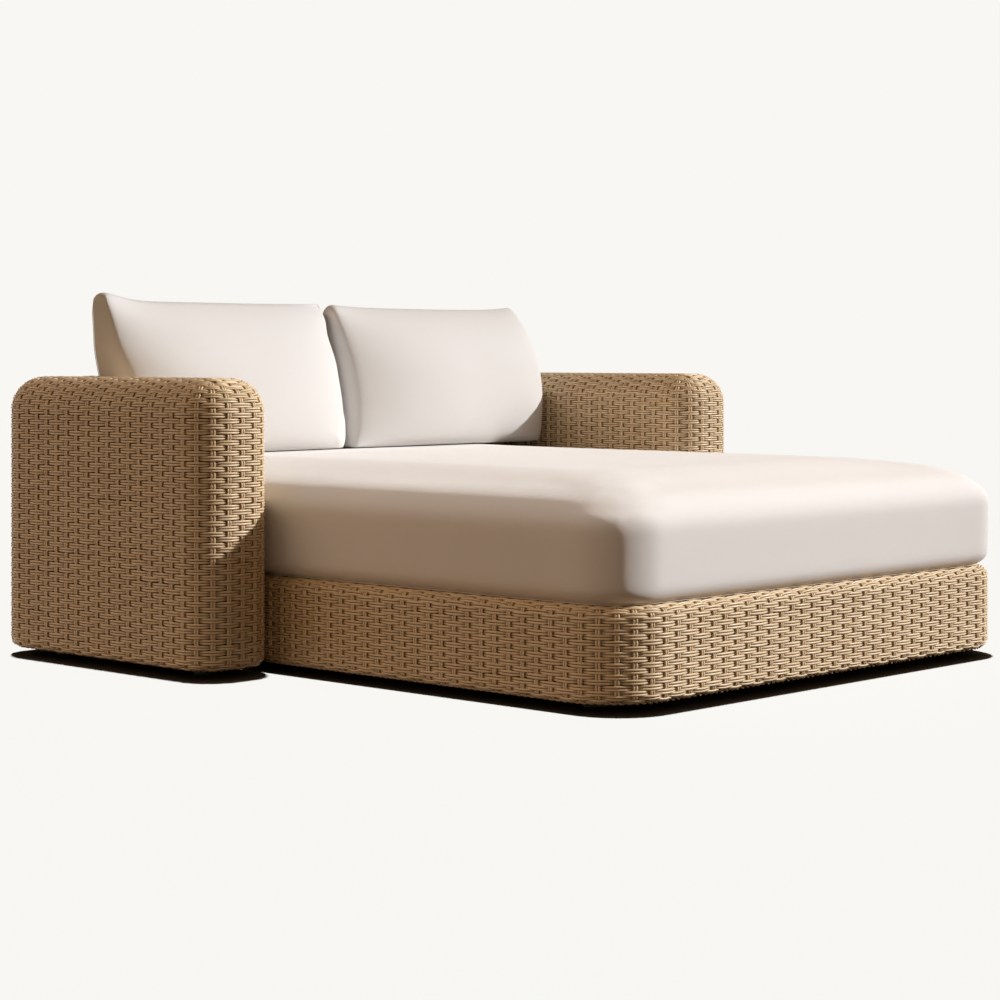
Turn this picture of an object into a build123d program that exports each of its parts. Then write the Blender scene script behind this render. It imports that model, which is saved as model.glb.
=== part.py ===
from build123d import *
from math import sqrt
import os

# Rattan daybed: a low woven platform with two chunky woven arms and a woven back,
# one deep mattress and two back cushions. Millimetres, +Z up, front facing -Y,
# origin on the floor below the middle of the whole daybed.

# Outer sizes
overall_width = 1920.0
overall_depth = 1800.0
arm_height = 675.0
arm_width = 225.0
arm_length = 790.0
arm_corner_radius = 90.0
arm_top_radius = 80.0
back_thickness = 105.0
back_top_radius = 48.0
base_top = 220.0
base_corner_radius = 150.0
base_edge_radius = 26.0
floor_gap = 20.0

# Woven skin
weave_thickness = 12.0
bottom_edge_radius = 24.0
hem_width = 35.0
rim_width = 45.0
upright_groove_depth = 3.4
row_groove_depth = 4.0
arm_pad_columns = 24
arm_pad_courses = 6

# Aluminium tube
base_tube = 30.0
arm_tube = 25.0
tube_wall = 2.0
arm_post_inset = 104.0
back_post_end_gap = 62.5
back_post_count = 5
base_side_post_count = 4
base_front_post_count = 3

# Cross rails and deck
front_rail_setback = 170.0
rear_rail_setback = 75.0
bearer_count = 5
lower_rail_count = 3
slat_width = 60.0
slat_height = 11.0
slat_wall = 1.5
slat_pitch = 100.0
slat_end_gap = 15.0
rivet_radius = 2.4
rivet_head_radius = 5.5
rivet_head_height = 0.8
rivet_hole_clearance = 0.2
rivet_tail_length = 3.0

# Connector bolts
bolt_radius = 4.0
bolt_hole_clearance = 0.5
bolt_head_radius = 6.5
bolt_head_height = 8.0
bolt_socket_width = 6.0
bolt_socket_depth = 4.0
bolt_tail_length = 3.0
washer_radius = 8.5
washer_thickness = 1.6
nut_width = 13.0
nut_height = 6.5
lower_bolt_height = 45.0
upper_bolt_height = 193.0
lower_arm_bolt_gap = 100.0
lower_arm_bolt_rear_gap = 131.0

# Foot glides
glide_radius = 25.0
glide_pad_height = 14.0
glide_neck_radius = 15.0
glide_pad_edge = 3.0
stem_radius = 4.0
stem_rise = 14.0
stem_hole_clearance = 0.4
base_glide_inset = 115.0
arm_glide_end_gap = 135.0

# Mattress
mattress_side_gap = 4.0
mattress_rear_gap = 5.0
mattress_thickness = 258.0
mattress_rear_corner_radius = 30.0
mattress_smallest_radius = 12.0
mattress_edge_reach = 290.0
mattress_height_shares = (0.0, 0.05, 0.30, 0.62, 0.78, 0.87, 0.93, 0.975, 1.0)
mattress_inset_shares = (0.041, 0.007, 0.010, 0.0, 0.035, 0.11, 0.25, 0.52, 1.0)
mattress_rear_inset_share = 0.12

# Back cushions
cushion_height = 387.0
cushion_depth = 148.0
cushion_crown = 72.0
cushion_middle_gap = 8.0
cushion_draw = 9.0
cushion_height_shares = (0.0, 0.06, 0.30, 0.55, 0.76, 0.91, 1.0)
cushion_depth_shares = (0.96, 1.0, 1.0, 0.93, 0.72, 0.48, 0.27)
cushion_crown_shares = (0.55, 0.80, 1.0, 0.95, 0.70, 0.35, 0.12)
cushion_draw_shares = (0.10, 0.45, 1.0, 1.0, 0.75, 0.30, 0.0)

# Covers, fillings and zips
cover_thickness = 4.0
filling_gap = 0.3
zip_width = 9.0
zip_depth = 2.0
zip_length_share = 0.82
zip_puller_length = 16.0
zip_puller_width = 5.0
zip_puller_depth = 1.2
rest_gap = 0.3
overrun = 10.0

# Places worked out from the sizes
half_width = overall_width / 2
front_y = -overall_depth / 2
rear_y = overall_depth / 2
base_half_width = half_width - arm_width
base_rear_y = rear_y - back_thickness
base_length = base_rear_y - front_y
base_mid_y = (base_rear_y + front_y) / 2
arm_mid_x = half_width - arm_width / 2
arm_mid_y = rear_y - arm_length / 2
back_mid_y = rear_y - back_thickness / 2
skin_bottom = floor_gap + weave_thickness
hem_inset = weave_thickness + hem_width

lower_rail_z = skin_bottom + base_tube / 2
upper_rail_top = base_top - weave_thickness
upper_rail_z = upper_rail_top - base_tube / 2
side_rail_x = base_half_width - weave_thickness - base_tube / 2
rear_rail_y = base_rear_y - weave_thickness - base_tube / 2
front_rail_y = front_y + weave_thickness + base_tube / 2
bow_radius = base_corner_radius - weave_thickness - base_tube / 2
bow_end_y = front_rail_y + bow_radius
bow_end_x = side_rail_x - bow_radius
side_rail_end_y = rear_rail_y + base_tube / 2
inner_half_width = side_rail_x - base_tube / 2
post_bottom = lower_rail_z + base_tube / 2
post_top = upper_rail_z - base_tube / 2
first_cross_y = front_y + front_rail_setback
last_cross_y = base_rear_y - rear_rail_setback
cross_step = (last_cross_y - first_cross_y) / (bearer_count - 1)
bearer_ys = [first_cross_y + cross_step * place for place in range(bearer_count)]
lower_step = (last_cross_y - first_cross_y) / (lower_rail_count - 1)
lower_cross_ys = [first_cross_y + lower_step * place for place in range(lower_rail_count)]


def spread(first, last, count):
    """Evenly spaced places from first to last."""
    return [first + (last - first) * place / (count - 1) for place in range(count)]


def square_tube(places, length, size, along):
    """Square tubes of one length, centred on the places, running along X, Y or Z."""
    turns = {"X": (0, 90, 0), "Y": (90, 0, 0), "Z": (0, 0, 0)}
    spots = [Location(place, turns[along]) for place in places]
    with Locations(*spots):
        Box(size, size, length)
    with Locations(*spots):
        Box(size - 2 * tube_wall, size - 2 * tube_wall, length + overrun, mode=Mode.SUBTRACT)


def bolt_holes(places, direction):
    """Clearance holes along X or Y through everything at each connector bolt."""
    turns = {"X": (0, 90, 0), "Y": (90, 0, 0)}
    with Locations(*[Location(place, turns[direction]) for place in places]):
        Cylinder(bolt_radius + bolt_hole_clearance, bolt_grip + overrun, mode=Mode.SUBTRACT)


# Connector bolts run from inside the base frame into the arm and back frames
bolt_grip = base_tube + 2 * weave_thickness + arm_tube
bolt_mid_x = base_half_width + (arm_tube - base_tube) / 2
bolt_mid_y = base_rear_y + (arm_tube - base_tube) / 2
arm_front_y = rear_y - arm_length
arm_post_ys = spread(arm_front_y + arm_post_inset, rear_y - arm_post_inset, lower_rail_count)
arm_bolt_spots = [
    (arm_post_ys[0], upper_bolt_height),
    (arm_post_ys[1], upper_bolt_height),
    (arm_post_ys[0] + lower_arm_bolt_gap, lower_bolt_height),
    (base_rear_y - lower_arm_bolt_rear_gap, lower_bolt_height),
]
arm_bolts = {side: [(side * bolt_mid_x, y, z) for y, z in arm_bolt_spots] for side in (-1, 1)}
back_post_xs = spread(
    back_post_end_gap - base_half_width, base_half_width - back_post_end_gap, back_post_count
)
lower_back_bolt_x = (back_post_xs[-1] + back_post_xs[-2]) / 2
back_bolts = [
    (back_post_xs[1], bolt_mid_y, upper_bolt_height),
    (back_post_xs[-2], bolt_mid_y, upper_bolt_height),
    (-lower_back_bolt_x, bolt_mid_y, lower_bolt_height),
    (lower_back_bolt_x, bolt_mid_y, lower_bolt_height),
]

os.makedirs("parts", exist_ok=True)


def base_outline(inset, corner_radius):
    """The platform's plan: round front corners and square rear corners."""
    with BuildSketch(Plane.XY) as outline:
        with Locations((0, base_mid_y)):
            Rectangle(2 * (base_half_width - inset), base_length - 2 * inset)
        fillet(outline.vertices().group_by(Axis.Y)[0], radius=corner_radius)
    return outline.sketch


# Woven skin of the platform, open above inside its rim and below inside its hem
with BuildPart() as base_hollow:
    with BuildSketch(Plane.XY.offset(skin_bottom)):
        add(base_outline(weave_thickness, base_corner_radius - weave_thickness))
    extrude(amount=upper_rail_top - skin_bottom)
    with BuildSketch(Plane.XY.offset(floor_gap - overrun)):
        add(base_outline(hem_inset, base_corner_radius - hem_inset))
    extrude(amount=base_top - floor_gap - 2 * weave_thickness)
    with BuildSketch(Plane.XY.offset(base_top / 2)):
        add(base_outline(rim_width, base_corner_radius - rim_width))
    extrude(amount=base_top)

with BuildPart() as base_weave:
    with BuildSketch(Plane.XY.offset(floor_gap)):
        add(base_outline(0, base_corner_radius))
    extrude(amount=base_top - floor_gap)
    fillet(base_weave.faces().sort_by(Axis.Z)[-1].edges(), radius=base_edge_radius)
    fillet(base_weave.faces().sort_by(Axis.Z)[0].edges(), radius=bottom_edge_radius)
    add(base_hollow.part, mode=Mode.SUBTRACT)
    for side in (-1, 1):
        bolt_holes(arm_bolts[side], "X")
    bolt_holes(back_bolts, "Y")
base_weave.part.label = "base_weave"
export_step(base_weave.part, "parts/base_weave.step")

# Bent front tubes of the platform frame, one low and one high
with BuildPart() as base_front_bows:
    for bow_z in (lower_rail_z, upper_rail_z):
        with BuildLine(Plane.XY.offset(bow_z)) as bow_path:
            left_bend = RadiusArc((-side_rail_x, bow_end_y), (-bow_end_x, front_rail_y), -bow_radius)
            Line(left_bend @ 1, (bow_end_x, front_rail_y))
            RadiusArc((bow_end_x, front_rail_y), (side_rail_x, bow_end_y), -bow_radius)
        with BuildSketch(Plane(origin=bow_path.line @ 0, z_dir=bow_path.line % 0)):
            Rectangle(base_tube, base_tube)
            Rectangle(base_tube - 2 * tube_wall, base_tube - 2 * tube_wall, mode=Mode.SUBTRACT)
        sweep(path=bow_path.line)
base_front_bows.part.label = "base_front_bows"
export_step(base_front_bows.part, "parts/base_front_bows.step")

# Straight side tubes of the platform frame
with BuildPart() as base_side_rails:
    side_rail_length = side_rail_end_y - bow_end_y
    side_rail_mid_y = (side_rail_end_y + bow_end_y) / 2
    rail_zs = (lower_rail_z, upper_rail_z)
    square_tube(
        [(side * side_rail_x, side_rail_mid_y, z) for side in (-1, 1) for z in rail_zs],
        side_rail_length, base_tube, "Y",
    )
    for side in (-1, 1):
        bolt_holes(arm_bolts[side], "X")
base_side_rails.part.label = "base_side_rails"
export_step(base_side_rails.part, "parts/base_side_rails.step")

# Rear tubes of the platform frame
with BuildPart() as base_rear_rails:
    square_tube([(0, rear_rail_y, z) for z in rail_zs], 2 * inner_half_width, base_tube, "X")
    bolt_holes(back_bolts, "Y")
base_rear_rails.part.label = "base_rear_rails"
export_step(base_rear_rails.part, "parts/base_rear_rails.step")

# Uprights between the low and high tubes of the platform
with BuildPart() as base_posts:
    post_z = (post_bottom + post_top) / 2
    side_post_ys = spread(
        bow_end_y + base_tube / 2, side_rail_end_y - base_tube / 2, base_side_post_count
    )
    front_post_xs = spread(-bow_end_x + base_tube, bow_end_x - base_tube, base_front_post_count)
    post_spots = [(side * side_rail_x, y, post_z) for side in (-1, 1) for y in side_post_ys]
    post_spots += [(x, front_rail_y, post_z) for x in front_post_xs]
    post_spots += [(0, rear_rail_y, post_z)]
    square_tube(post_spots, post_top - post_bottom, base_tube, "Z")
base_posts.part.label = "base_posts"
export_step(base_posts.part, "parts/base_posts.step")

# Glide places: three under each low cross rail, two under each arm
base_glide_x = base_half_width - base_glide_inset
base_glide_spots = [(x, y) for y in lower_cross_ys for x in (-base_glide_x, 0, base_glide_x)]
arm_tie_ys = spread(arm_front_y + arm_glide_end_gap, rear_y - arm_glide_end_gap, lower_rail_count)
arm_glide_spots = {
    side: [(side * arm_mid_x, arm_tie_ys[0]), (side * arm_mid_x, arm_tie_ys[-1])]
    for side in (-1, 1)
}
glide_spots = base_glide_spots + arm_glide_spots[-1] + arm_glide_spots[1]


def stem_holes(spots):
    """Holes for the glide stems through the bottom wall of a tube."""
    with Locations(*[(x, y, skin_bottom) for x, y in spots]):
        Cylinder(stem_radius + stem_hole_clearance, arm_tube, mode=Mode.SUBTRACT)


# Low cross rails, which carry the glides and the middle posts
with BuildPart() as lower_cross_rails:
    square_tube([(0, y, lower_rail_z) for y in lower_cross_ys], 2 * inner_half_width, base_tube, "X")
    stem_holes(base_glide_spots)
lower_cross_rails.part.label = "lower_cross_rails"
export_step(lower_cross_rails.part, "parts/lower_cross_rails.step")

# High cross bearers, which carry the slats
slat_xs = []
slat_x = 0.0
while slat_x + slat_width / 2 < base_half_width - rim_width - slat_end_gap:
    slat_xs += [slat_x] if slat_x == 0 else [-slat_x, slat_x]
    slat_x += slat_pitch
slat_xs = sorted(slat_xs)
rivet_spots = [(x, y, upper_rail_top) for x in slat_xs for y in bearer_ys]
rivet_hole_radius = rivet_radius + rivet_hole_clearance
with BuildPart() as deck_bearers:
    square_tube([(0, y, upper_rail_z) for y in bearer_ys], 2 * inner_half_width, base_tube, "X")
    with Locations(*rivet_spots):
        Cylinder(rivet_hole_radius, base_tube, mode=Mode.SUBTRACT)
deck_bearers.part.label = "deck_bearers"
export_step(deck_bearers.part, "parts/deck_bearers.step")

# Middle posts between the low cross rails and the bearers
with BuildPart() as centre_posts:
    square_tube([(0, y, post_z) for y in lower_cross_ys], post_top - post_bottom, base_tube, "Z")
centre_posts.part.label = "centre_posts"
export_step(centre_posts.part, "parts/centre_posts.step")

# Deck slats: flat aluminium tubes from front to rear
slat_front_y = front_y + rim_width + slat_end_gap
slat_rear_y = base_rear_y - rim_width - slat_end_gap
slat_length = slat_rear_y - slat_front_y
slat_mid_y = (slat_rear_y + slat_front_y) / 2
slat_z = upper_rail_top + slat_height / 2
with BuildPart() as deck_slats:
    with Locations(*[(x, slat_mid_y, slat_z) for x in slat_xs]):
        Box(slat_width, slat_length, slat_height)
    with Locations(*[(x, slat_mid_y, slat_z) for x in slat_xs]):
        Box(
            slat_width - 2 * slat_wall, slat_length + overrun, slat_height - 2 * slat_wall,
            mode=Mode.SUBTRACT,
        )
    with Locations(*rivet_spots):
        Cylinder(rivet_hole_radius, base_tube, mode=Mode.SUBTRACT)
deck_slats.part.label = "deck_slats"
export_step(deck_slats.part, "parts/deck_slats.step")

# Rivets that hold the slats down, one group
rivet_top = upper_rail_top + slat_height
rivet_shank_length = slat_height + tube_wall + rivet_tail_length
with BuildPart() as slat_rivets:
    with Locations(*[(x, y, rivet_top) for x, y, z in rivet_spots]):
        Cylinder(rivet_head_radius, rivet_head_height, align=(Align.CENTER, Align.CENTER, Align.MIN))
        Cylinder(rivet_radius, rivet_shank_length, align=(Align.CENTER, Align.CENTER, Align.MAX))
slat_rivets.part.label = "slat_rivets"
export_step(slat_rivets.part, "parts/slat_rivets.step")

# Larger relief of the woven arms: pads of several rows, staggered as the floats are
def groove_section(depth):
    """A square on its corner, as deep below the surface as it stands above it."""
    Rectangle(depth * sqrt(2), depth * sqrt(2), rotation=45)


def weave_grooves(outline, bottom, top):
    """The grooves between the pads of a woven wall, one tool for each course and level."""
    rise = (top - bottom) / arm_pad_courses
    tools = []
    for course in range(arm_pad_courses):
        shares = [(column + course % 2 / 2) / arm_pad_columns for column in range(arm_pad_columns)]
        places = [
            Plane(outline.position_at(share), outline.tangent_at(share), (0, 0, 1)).location
            for share in shares
        ]
        with BuildPart() as upright_grooves:
            with BuildSketch(Plane.XY.offset(bottom + course * rise)):
                with Locations(places):
                    groove_section(upright_groove_depth)
            extrude(amount=rise)
        tools.append(upright_grooves.part)
    for course in range(arm_pad_courses + 1):
        level = outline.moved(Location((0, 0, bottom + course * rise)))
        with BuildPart() as row_groove:
            with BuildSketch(Plane(level.position_at(0), (0, 0, 1), level.tangent_at(0))):
                groove_section(row_groove_depth)
            sweep(path=level)
        tools.append(row_groove.part)
    return tools


# Arms: tube frame inside a woven case, left and right alike
arm_inner_half = arm_width / 2 - weave_thickness
arm_rail_reach = arm_inner_half - arm_tube / 2
arm_skin_top = arm_height - weave_thickness
arm_inner_top_radius = arm_top_radius - weave_thickness
arm_low_z = skin_bottom + arm_tube / 2
arm_high_z = arm_skin_top - arm_inner_top_radius - arm_tube / 2
arm_crown_z = arm_skin_top - arm_tube / 2
arm_bow_radius = arm_corner_radius - weave_thickness - arm_tube / 2
arm_bow_end_gap = weave_thickness + arm_tube / 2 + arm_bow_radius
arm_rail_length = arm_length - 2 * arm_bow_end_gap
arm_post_bottom = arm_low_z + arm_tube / 2
arm_post_top = arm_high_z - arm_tube / 2
arm_tie_length = 2 * arm_rail_reach - arm_tube
crown_post_bottom = arm_high_z + arm_tube / 2
crown_post_top = arm_crown_z - arm_tube / 2

for side, side_name in ((-1, "left"), (1, "right")):
    arm_x = side * arm_mid_x
    rail_xs = (arm_x - arm_rail_reach, arm_x + arm_rail_reach)

    with BuildPart() as arm_hollow:
        with BuildSketch(Plane.XY.offset(skin_bottom)):
            with Locations((arm_x, arm_mid_y)):
                RectangleRounded(
                    arm_width - 2 * weave_thickness, arm_length - 2 * weave_thickness,
                    arm_corner_radius - weave_thickness,
                )
        extrude(amount=arm_skin_top - skin_bottom)
        fillet(arm_hollow.faces().sort_by(Axis.Z)[-1].edges(), radius=arm_inner_top_radius)
        with BuildSketch(Plane.XY.offset(floor_gap - overrun)):
            with Locations((arm_x, arm_mid_y)):
                RectangleRounded(
                    arm_width - 2 * hem_inset, arm_length - 2 * hem_inset,
                    arm_corner_radius - hem_inset,
                )
        extrude(amount=arm_height / 2)

    with BuildPart() as arm_weave:
        with BuildSketch(Plane.XY.offset(floor_gap)):
            with Locations((arm_x, arm_mid_y)):
                RectangleRounded(arm_width, arm_length, arm_corner_radius)
        extrude(amount=arm_height - floor_gap)
        arm_outline = arm_weave.faces().sort_by(Axis.Z)[0].outer_wire()
        fillet(arm_weave.faces().sort_by(Axis.Z)[-1].edges(), radius=arm_top_radius)
        fillet(arm_weave.faces().sort_by(Axis.Z)[0].edges(), radius=bottom_edge_radius)
        add(
            weave_grooves(
                arm_outline.moved(Location((0, 0, -floor_gap))),
                floor_gap + bottom_edge_radius, arm_height - arm_top_radius,
            ),
            mode=Mode.SUBTRACT,
        )
        add(arm_hollow.part, mode=Mode.SUBTRACT)
        bolt_holes(arm_bolts[side], "X")
    arm_weave.part.label = f"{side_name}_arm_weave"
    export_step(arm_weave.part, f"parts/{side_name}_arm_weave.step")

    with BuildPart() as arm_posts:
        square_tube(
            [(x, y, (arm_post_bottom + arm_post_top) / 2) for x in rail_xs for y in arm_post_ys],
            arm_post_top - arm_post_bottom, arm_tube, "Z",
        )
        bolt_holes(arm_bolts[side], "X")
    arm_posts.part.label = f"{side_name}_arm_posts"
    export_step(arm_posts.part, f"parts/{side_name}_arm_posts.step")

    with BuildPart() as arm_rails:
        rail_spots = [(x, arm_mid_y, z) for x in rail_xs for z in (arm_low_z, arm_high_z)]
        rail_spots += [(arm_x, arm_mid_y, arm_crown_z)]
        square_tube(rail_spots, arm_rail_length, arm_tube, "Y")
        bolt_holes(arm_bolts[side], "X")
    arm_rails.part.label = f"{side_name}_arm_rails"
    export_step(arm_rails.part, f"parts/{side_name}_arm_rails.step")

    with BuildPart() as arm_ties:
        tie_spots = [(arm_x, y, z) for y in arm_tie_ys for z in (arm_low_z, arm_high_z)]
        square_tube(tie_spots, arm_tie_length, arm_tube, "X")
        stem_holes(arm_glide_spots[side])
    arm_ties.part.label = f"{side_name}_arm_ties"
    export_step(arm_ties.part, f"parts/{side_name}_arm_ties.step")

    with BuildPart() as arm_crown_posts:
        square_tube(
            [(arm_x, y, (crown_post_bottom + crown_post_top) / 2) for y in arm_tie_ys],
            crown_post_top - crown_post_bottom, arm_tube, "Z",
        )
    arm_crown_posts.part.label = f"{side_name}_arm_crown_posts"
    export_step(arm_crown_posts.part, f"parts/{side_name}_arm_crown_posts.step")

    with BuildPart() as arm_bows:
        for end in (-1, 1):
            bend_y = arm_mid_y + end * arm_rail_length / 2
            end_y = bend_y + end * arm_bow_radius
            left_x = arm_x - arm_rail_reach
            right_x = arm_x + arm_rail_reach
            for bow_z in (arm_low_z, arm_high_z):
                with BuildLine(Plane.XY.offset(bow_z)) as bow_path:
                    first = RadiusArc(
                        (left_x, bend_y), (left_x + arm_bow_radius, end_y), end * arm_bow_radius
                    )
                    Line(first @ 1, (right_x - arm_bow_radius, end_y))
                    RadiusArc(
                        (right_x - arm_bow_radius, end_y), (right_x, bend_y), end * arm_bow_radius
                    )
                with BuildSketch(Plane(origin=bow_path.line @ 0, z_dir=bow_path.line % 0)):
                    Rectangle(arm_tube, arm_tube)
                    Rectangle(arm_tube - 2 * tube_wall, arm_tube - 2 * tube_wall, mode=Mode.SUBTRACT)
                sweep(path=bow_path.line)
    arm_bows.part.label = f"{side_name}_arm_bows"
    export_step(arm_bows.part, f"parts/{side_name}_arm_bows.step")

# Back: tube frame inside a woven case, between the arms
back_inner_half = back_thickness / 2 - weave_thickness
back_rail_reach = back_inner_half - arm_tube / 2
back_rail_ys = (back_mid_y - back_rail_reach, back_mid_y + back_rail_reach)
back_inner_radius = back_top_radius - weave_thickness
back_high_z = arm_skin_top - back_inner_radius - arm_tube / 2
back_rail_length = 2 * (base_half_width - weave_thickness)
back_post_top = back_high_z - arm_tube / 2
back_tie_length = 2 * back_rail_reach - arm_tube
back_outer_width = 2 * base_half_width
crown_tube_overhang = arm_tube / 2 - (back_inner_half - back_inner_radius)
back_crown_drop = back_inner_radius - sqrt(back_inner_radius**2 - crown_tube_overhang**2)
back_crown_z = arm_crown_z - back_crown_drop

with BuildPart() as back_hollow:
    with BuildSketch(Plane.XY.offset(skin_bottom)):
        with Locations((0, back_mid_y)):
            Rectangle(back_rail_length, 2 * back_inner_half)
    extrude(amount=arm_skin_top - skin_bottom)
    long_top_edges = back_hollow.faces().sort_by(Axis.Z)[-1].edges().filter_by(Axis.X)
    fillet(long_top_edges, radius=back_inner_radius)
    with BuildSketch(Plane.XY.offset(floor_gap - overrun)):
        with Locations((0, back_mid_y)):
            Rectangle(back_outer_width - 2 * hem_inset, 2 * back_inner_half - hem_width)
    extrude(amount=arm_height / 2)

with BuildPart() as back_weave:
    with BuildSketch(Plane.XY.offset(floor_gap)):
        with Locations((0, back_mid_y)):
            Rectangle(back_outer_width, back_thickness)
    extrude(amount=arm_height - floor_gap)
    fillet(
        back_weave.faces().sort_by(Axis.Z)[-1].edges().filter_by(Axis.X), radius=back_top_radius
    )
    fillet(
        back_weave.faces().sort_by(Axis.Z)[0].edges().filter_by(Axis.X).sort_by(Axis.Y)[-1],
        radius=bottom_edge_radius,
    )
    add(back_hollow.part, mode=Mode.SUBTRACT)
    bolt_holes(back_bolts, "Y")
back_weave.part.label = "back_weave"
export_step(back_weave.part, "parts/back_weave.step")

with BuildPart() as back_posts:
    back_post_z = (arm_post_bottom + back_post_top) / 2
    square_tube(
        [(x, y, back_post_z) for x in back_post_xs for y in back_rail_ys],
        back_post_top - arm_post_bottom, arm_tube, "Z",
    )
    bolt_holes(back_bolts, "Y")
back_posts.part.label = "back_posts"
export_step(back_posts.part, "parts/back_posts.step")

with BuildPart() as back_rails:
    back_rail_spots = [(0, y, z) for y in back_rail_ys for z in (arm_low_z, back_high_z)]
    back_rail_spots += [(0, back_mid_y, back_crown_z)]
    square_tube(back_rail_spots, back_rail_length, arm_tube, "X")
    bolt_holes(back_bolts, "Y")
back_rails.part.label = "back_rails"
export_step(back_rails.part, "parts/back_rails.step")

with BuildPart() as back_ties:
    square_tube(
        [(x, back_mid_y, z) for x in back_post_xs for z in (arm_low_z, back_high_z)],
        back_tie_length, arm_tube, "Y",
    )
back_ties.part.label = "back_ties"
export_step(back_ties.part, "parts/back_ties.step")

with BuildPart() as back_crown_posts:
    back_crown_bottom = back_high_z + arm_tube / 2
    back_crown_top = back_crown_z - arm_tube / 2
    square_tube(
        [(x, back_mid_y, (back_crown_bottom + back_crown_top) / 2) for x in back_post_xs],
        back_crown_top - back_crown_bottom, arm_tube, "Z",
    )
back_crown_posts.part.label = "back_crown_posts"
export_step(back_crown_posts.part, "parts/back_crown_posts.step")

# Connector bolts, washers and nuts: heads inside the platform, nuts inside arms and back
connector_spots = [Location(place, (0, 90, 0)) for place in arm_bolts[1]]
connector_spots += [Location(place, (0, -90, 0)) for place in arm_bolts[-1]]
connector_spots += [Location(place, (-90, 0, 0)) for place in back_bolts]
grip_end = bolt_grip / 2
shank_end = grip_end + washer_thickness + nut_height + bolt_tail_length
head_start = -grip_end - washer_thickness
up = (Align.CENTER, Align.CENTER, Align.MIN)
down = (Align.CENTER, Align.CENTER, Align.MAX)

with BuildPart() as one_bolt:
    with Locations((0, 0, head_start)):
        Cylinder(bolt_radius, shank_end - head_start, align=up)
        Cylinder(bolt_head_radius, bolt_head_height, align=down)
    with BuildSketch(Plane.XY.offset(head_start - bolt_head_height)):
        RegularPolygon(bolt_socket_width / 2, 6, major_radius=False)
    extrude(amount=bolt_socket_depth, mode=Mode.SUBTRACT)
with BuildPart() as connector_bolts:
    with Locations(*connector_spots):
        add(one_bolt.part)
connector_bolts.part.label = "connector_bolts"
export_step(connector_bolts.part, "parts/connector_bolts.step")

bore_radius = bolt_radius + rivet_hole_clearance
with BuildPart() as washer_pair:
    with Locations((0, 0, head_start), (0, 0, grip_end)):
        Cylinder(washer_radius, washer_thickness, align=up)
        Cylinder(bore_radius, washer_thickness, align=up, mode=Mode.SUBTRACT)
with BuildPart() as connector_washers:
    with Locations(*connector_spots):
        add(washer_pair.part)
connector_washers.part.label = "connector_washers"
export_step(connector_washers.part, "parts/connector_washers.step")

with BuildPart() as one_nut:
    with BuildSketch(Plane.XY.offset(grip_end + washer_thickness)):
        RegularPolygon(nut_width / 2, 6, major_radius=False)
        Circle(bore_radius, mode=Mode.SUBTRACT)
    extrude(amount=nut_height)
with BuildPart() as connector_nuts:
    with Locations(*connector_spots):
        add(one_nut.part)
connector_nuts.part.label = "connector_nuts"
export_step(connector_nuts.part, "parts/connector_nuts.step")

# Glides under the frame, each held by a stem and a nut inside the tube
with BuildPart() as foot_glides:
    with Locations(*[(x, y, 0) for x, y in glide_spots]):
        Cylinder(glide_radius, glide_pad_height, align=up)
        Cylinder(glide_neck_radius, skin_bottom, align=up)
        Cylinder(stem_radius, skin_bottom + stem_rise, align=up)
    chamfer(foot_glides.edges().group_by(Axis.Z)[0], length=glide_pad_edge)
foot_glides.part.label = "foot_glides"
export_step(foot_glides.part, "parts/foot_glides.step")

with BuildPart() as glide_nuts:
    for x, y in glide_spots:
        with BuildSketch(Plane.XY.offset(skin_bottom + tube_wall)):
            with Locations((x, y)):
                RegularPolygon(nut_width / 2, 6, major_radius=False)
                Circle(stem_radius + rivet_hole_clearance, mode=Mode.SUBTRACT)
        extrude(amount=nut_height)
glide_nuts.part.label = "glide_nuts"
export_step(glide_nuts.part, "parts/glide_nuts.step")

# Mattress: a crowned cover round a foam core
mattress_half_width = base_half_width - mattress_side_gap
mattress_front_y = front_y + mattress_side_gap
mattress_rear_y = base_rear_y - mattress_rear_gap
mattress_bottom = base_top + rest_gap
mattress_top = mattress_bottom + mattress_thickness


def mattress_body(skin):
    """The mattress form, drawn in by a skin thickness on every side."""
    with BuildPart() as body:
        for height_share, inset_share in zip(mattress_height_shares, mattress_inset_shares):
            level = mattress_bottom + skin + height_share * (mattress_thickness - 2 * skin)
            inset = skin + inset_share * mattress_edge_reach
            rear_inset = skin + inset_share * mattress_edge_reach * mattress_rear_inset_share
            first_y = mattress_front_y + inset
            last_y = mattress_rear_y - rear_inset
            corner = base_corner_radius - mattress_side_gap - inset
            with BuildSketch(Plane.XY.offset(level)) as slice_outline:
                with Locations((0, (first_y + last_y) / 2)):
                    Rectangle(2 * (mattress_half_width - inset), last_y - first_y)
                corner_radius = max(corner, mattress_smallest_radius + inset_share * arm_top_radius)
                fillet(slice_outline.vertices().group_by(Axis.Y)[0], radius=corner_radius)
                fillet(
                    slice_outline.vertices().group_by(Axis.Y)[-1], radius=mattress_rear_corner_radius
                )
        loft(ruled=True)
    return body.part


zip_groove_z = mattress_bottom + mattress_thickness / 2
mattress_zip_length = 2 * mattress_half_width * zip_length_share
zip_back_y = mattress_rear_y - cover_thickness / 2
with BuildPart() as mattress_cover:
    add(mattress_body(0))
    add(mattress_body(cover_thickness), mode=Mode.SUBTRACT)
    with Locations((0, zip_back_y, zip_groove_z)):
        Box(
            mattress_zip_length, overrun, zip_width,
            align=(Align.CENTER, Align.MIN, Align.CENTER), mode=Mode.SUBTRACT,
        )
mattress_cover.part.label = "mattress_cover"
export_step(mattress_cover.part, "parts/mattress_cover.step")

with BuildPart() as mattress_core:
    add(mattress_body(cover_thickness + filling_gap))
mattress_core.part.label = "mattress_core"
export_step(mattress_core.part, "parts/mattress_core.step")

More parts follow.
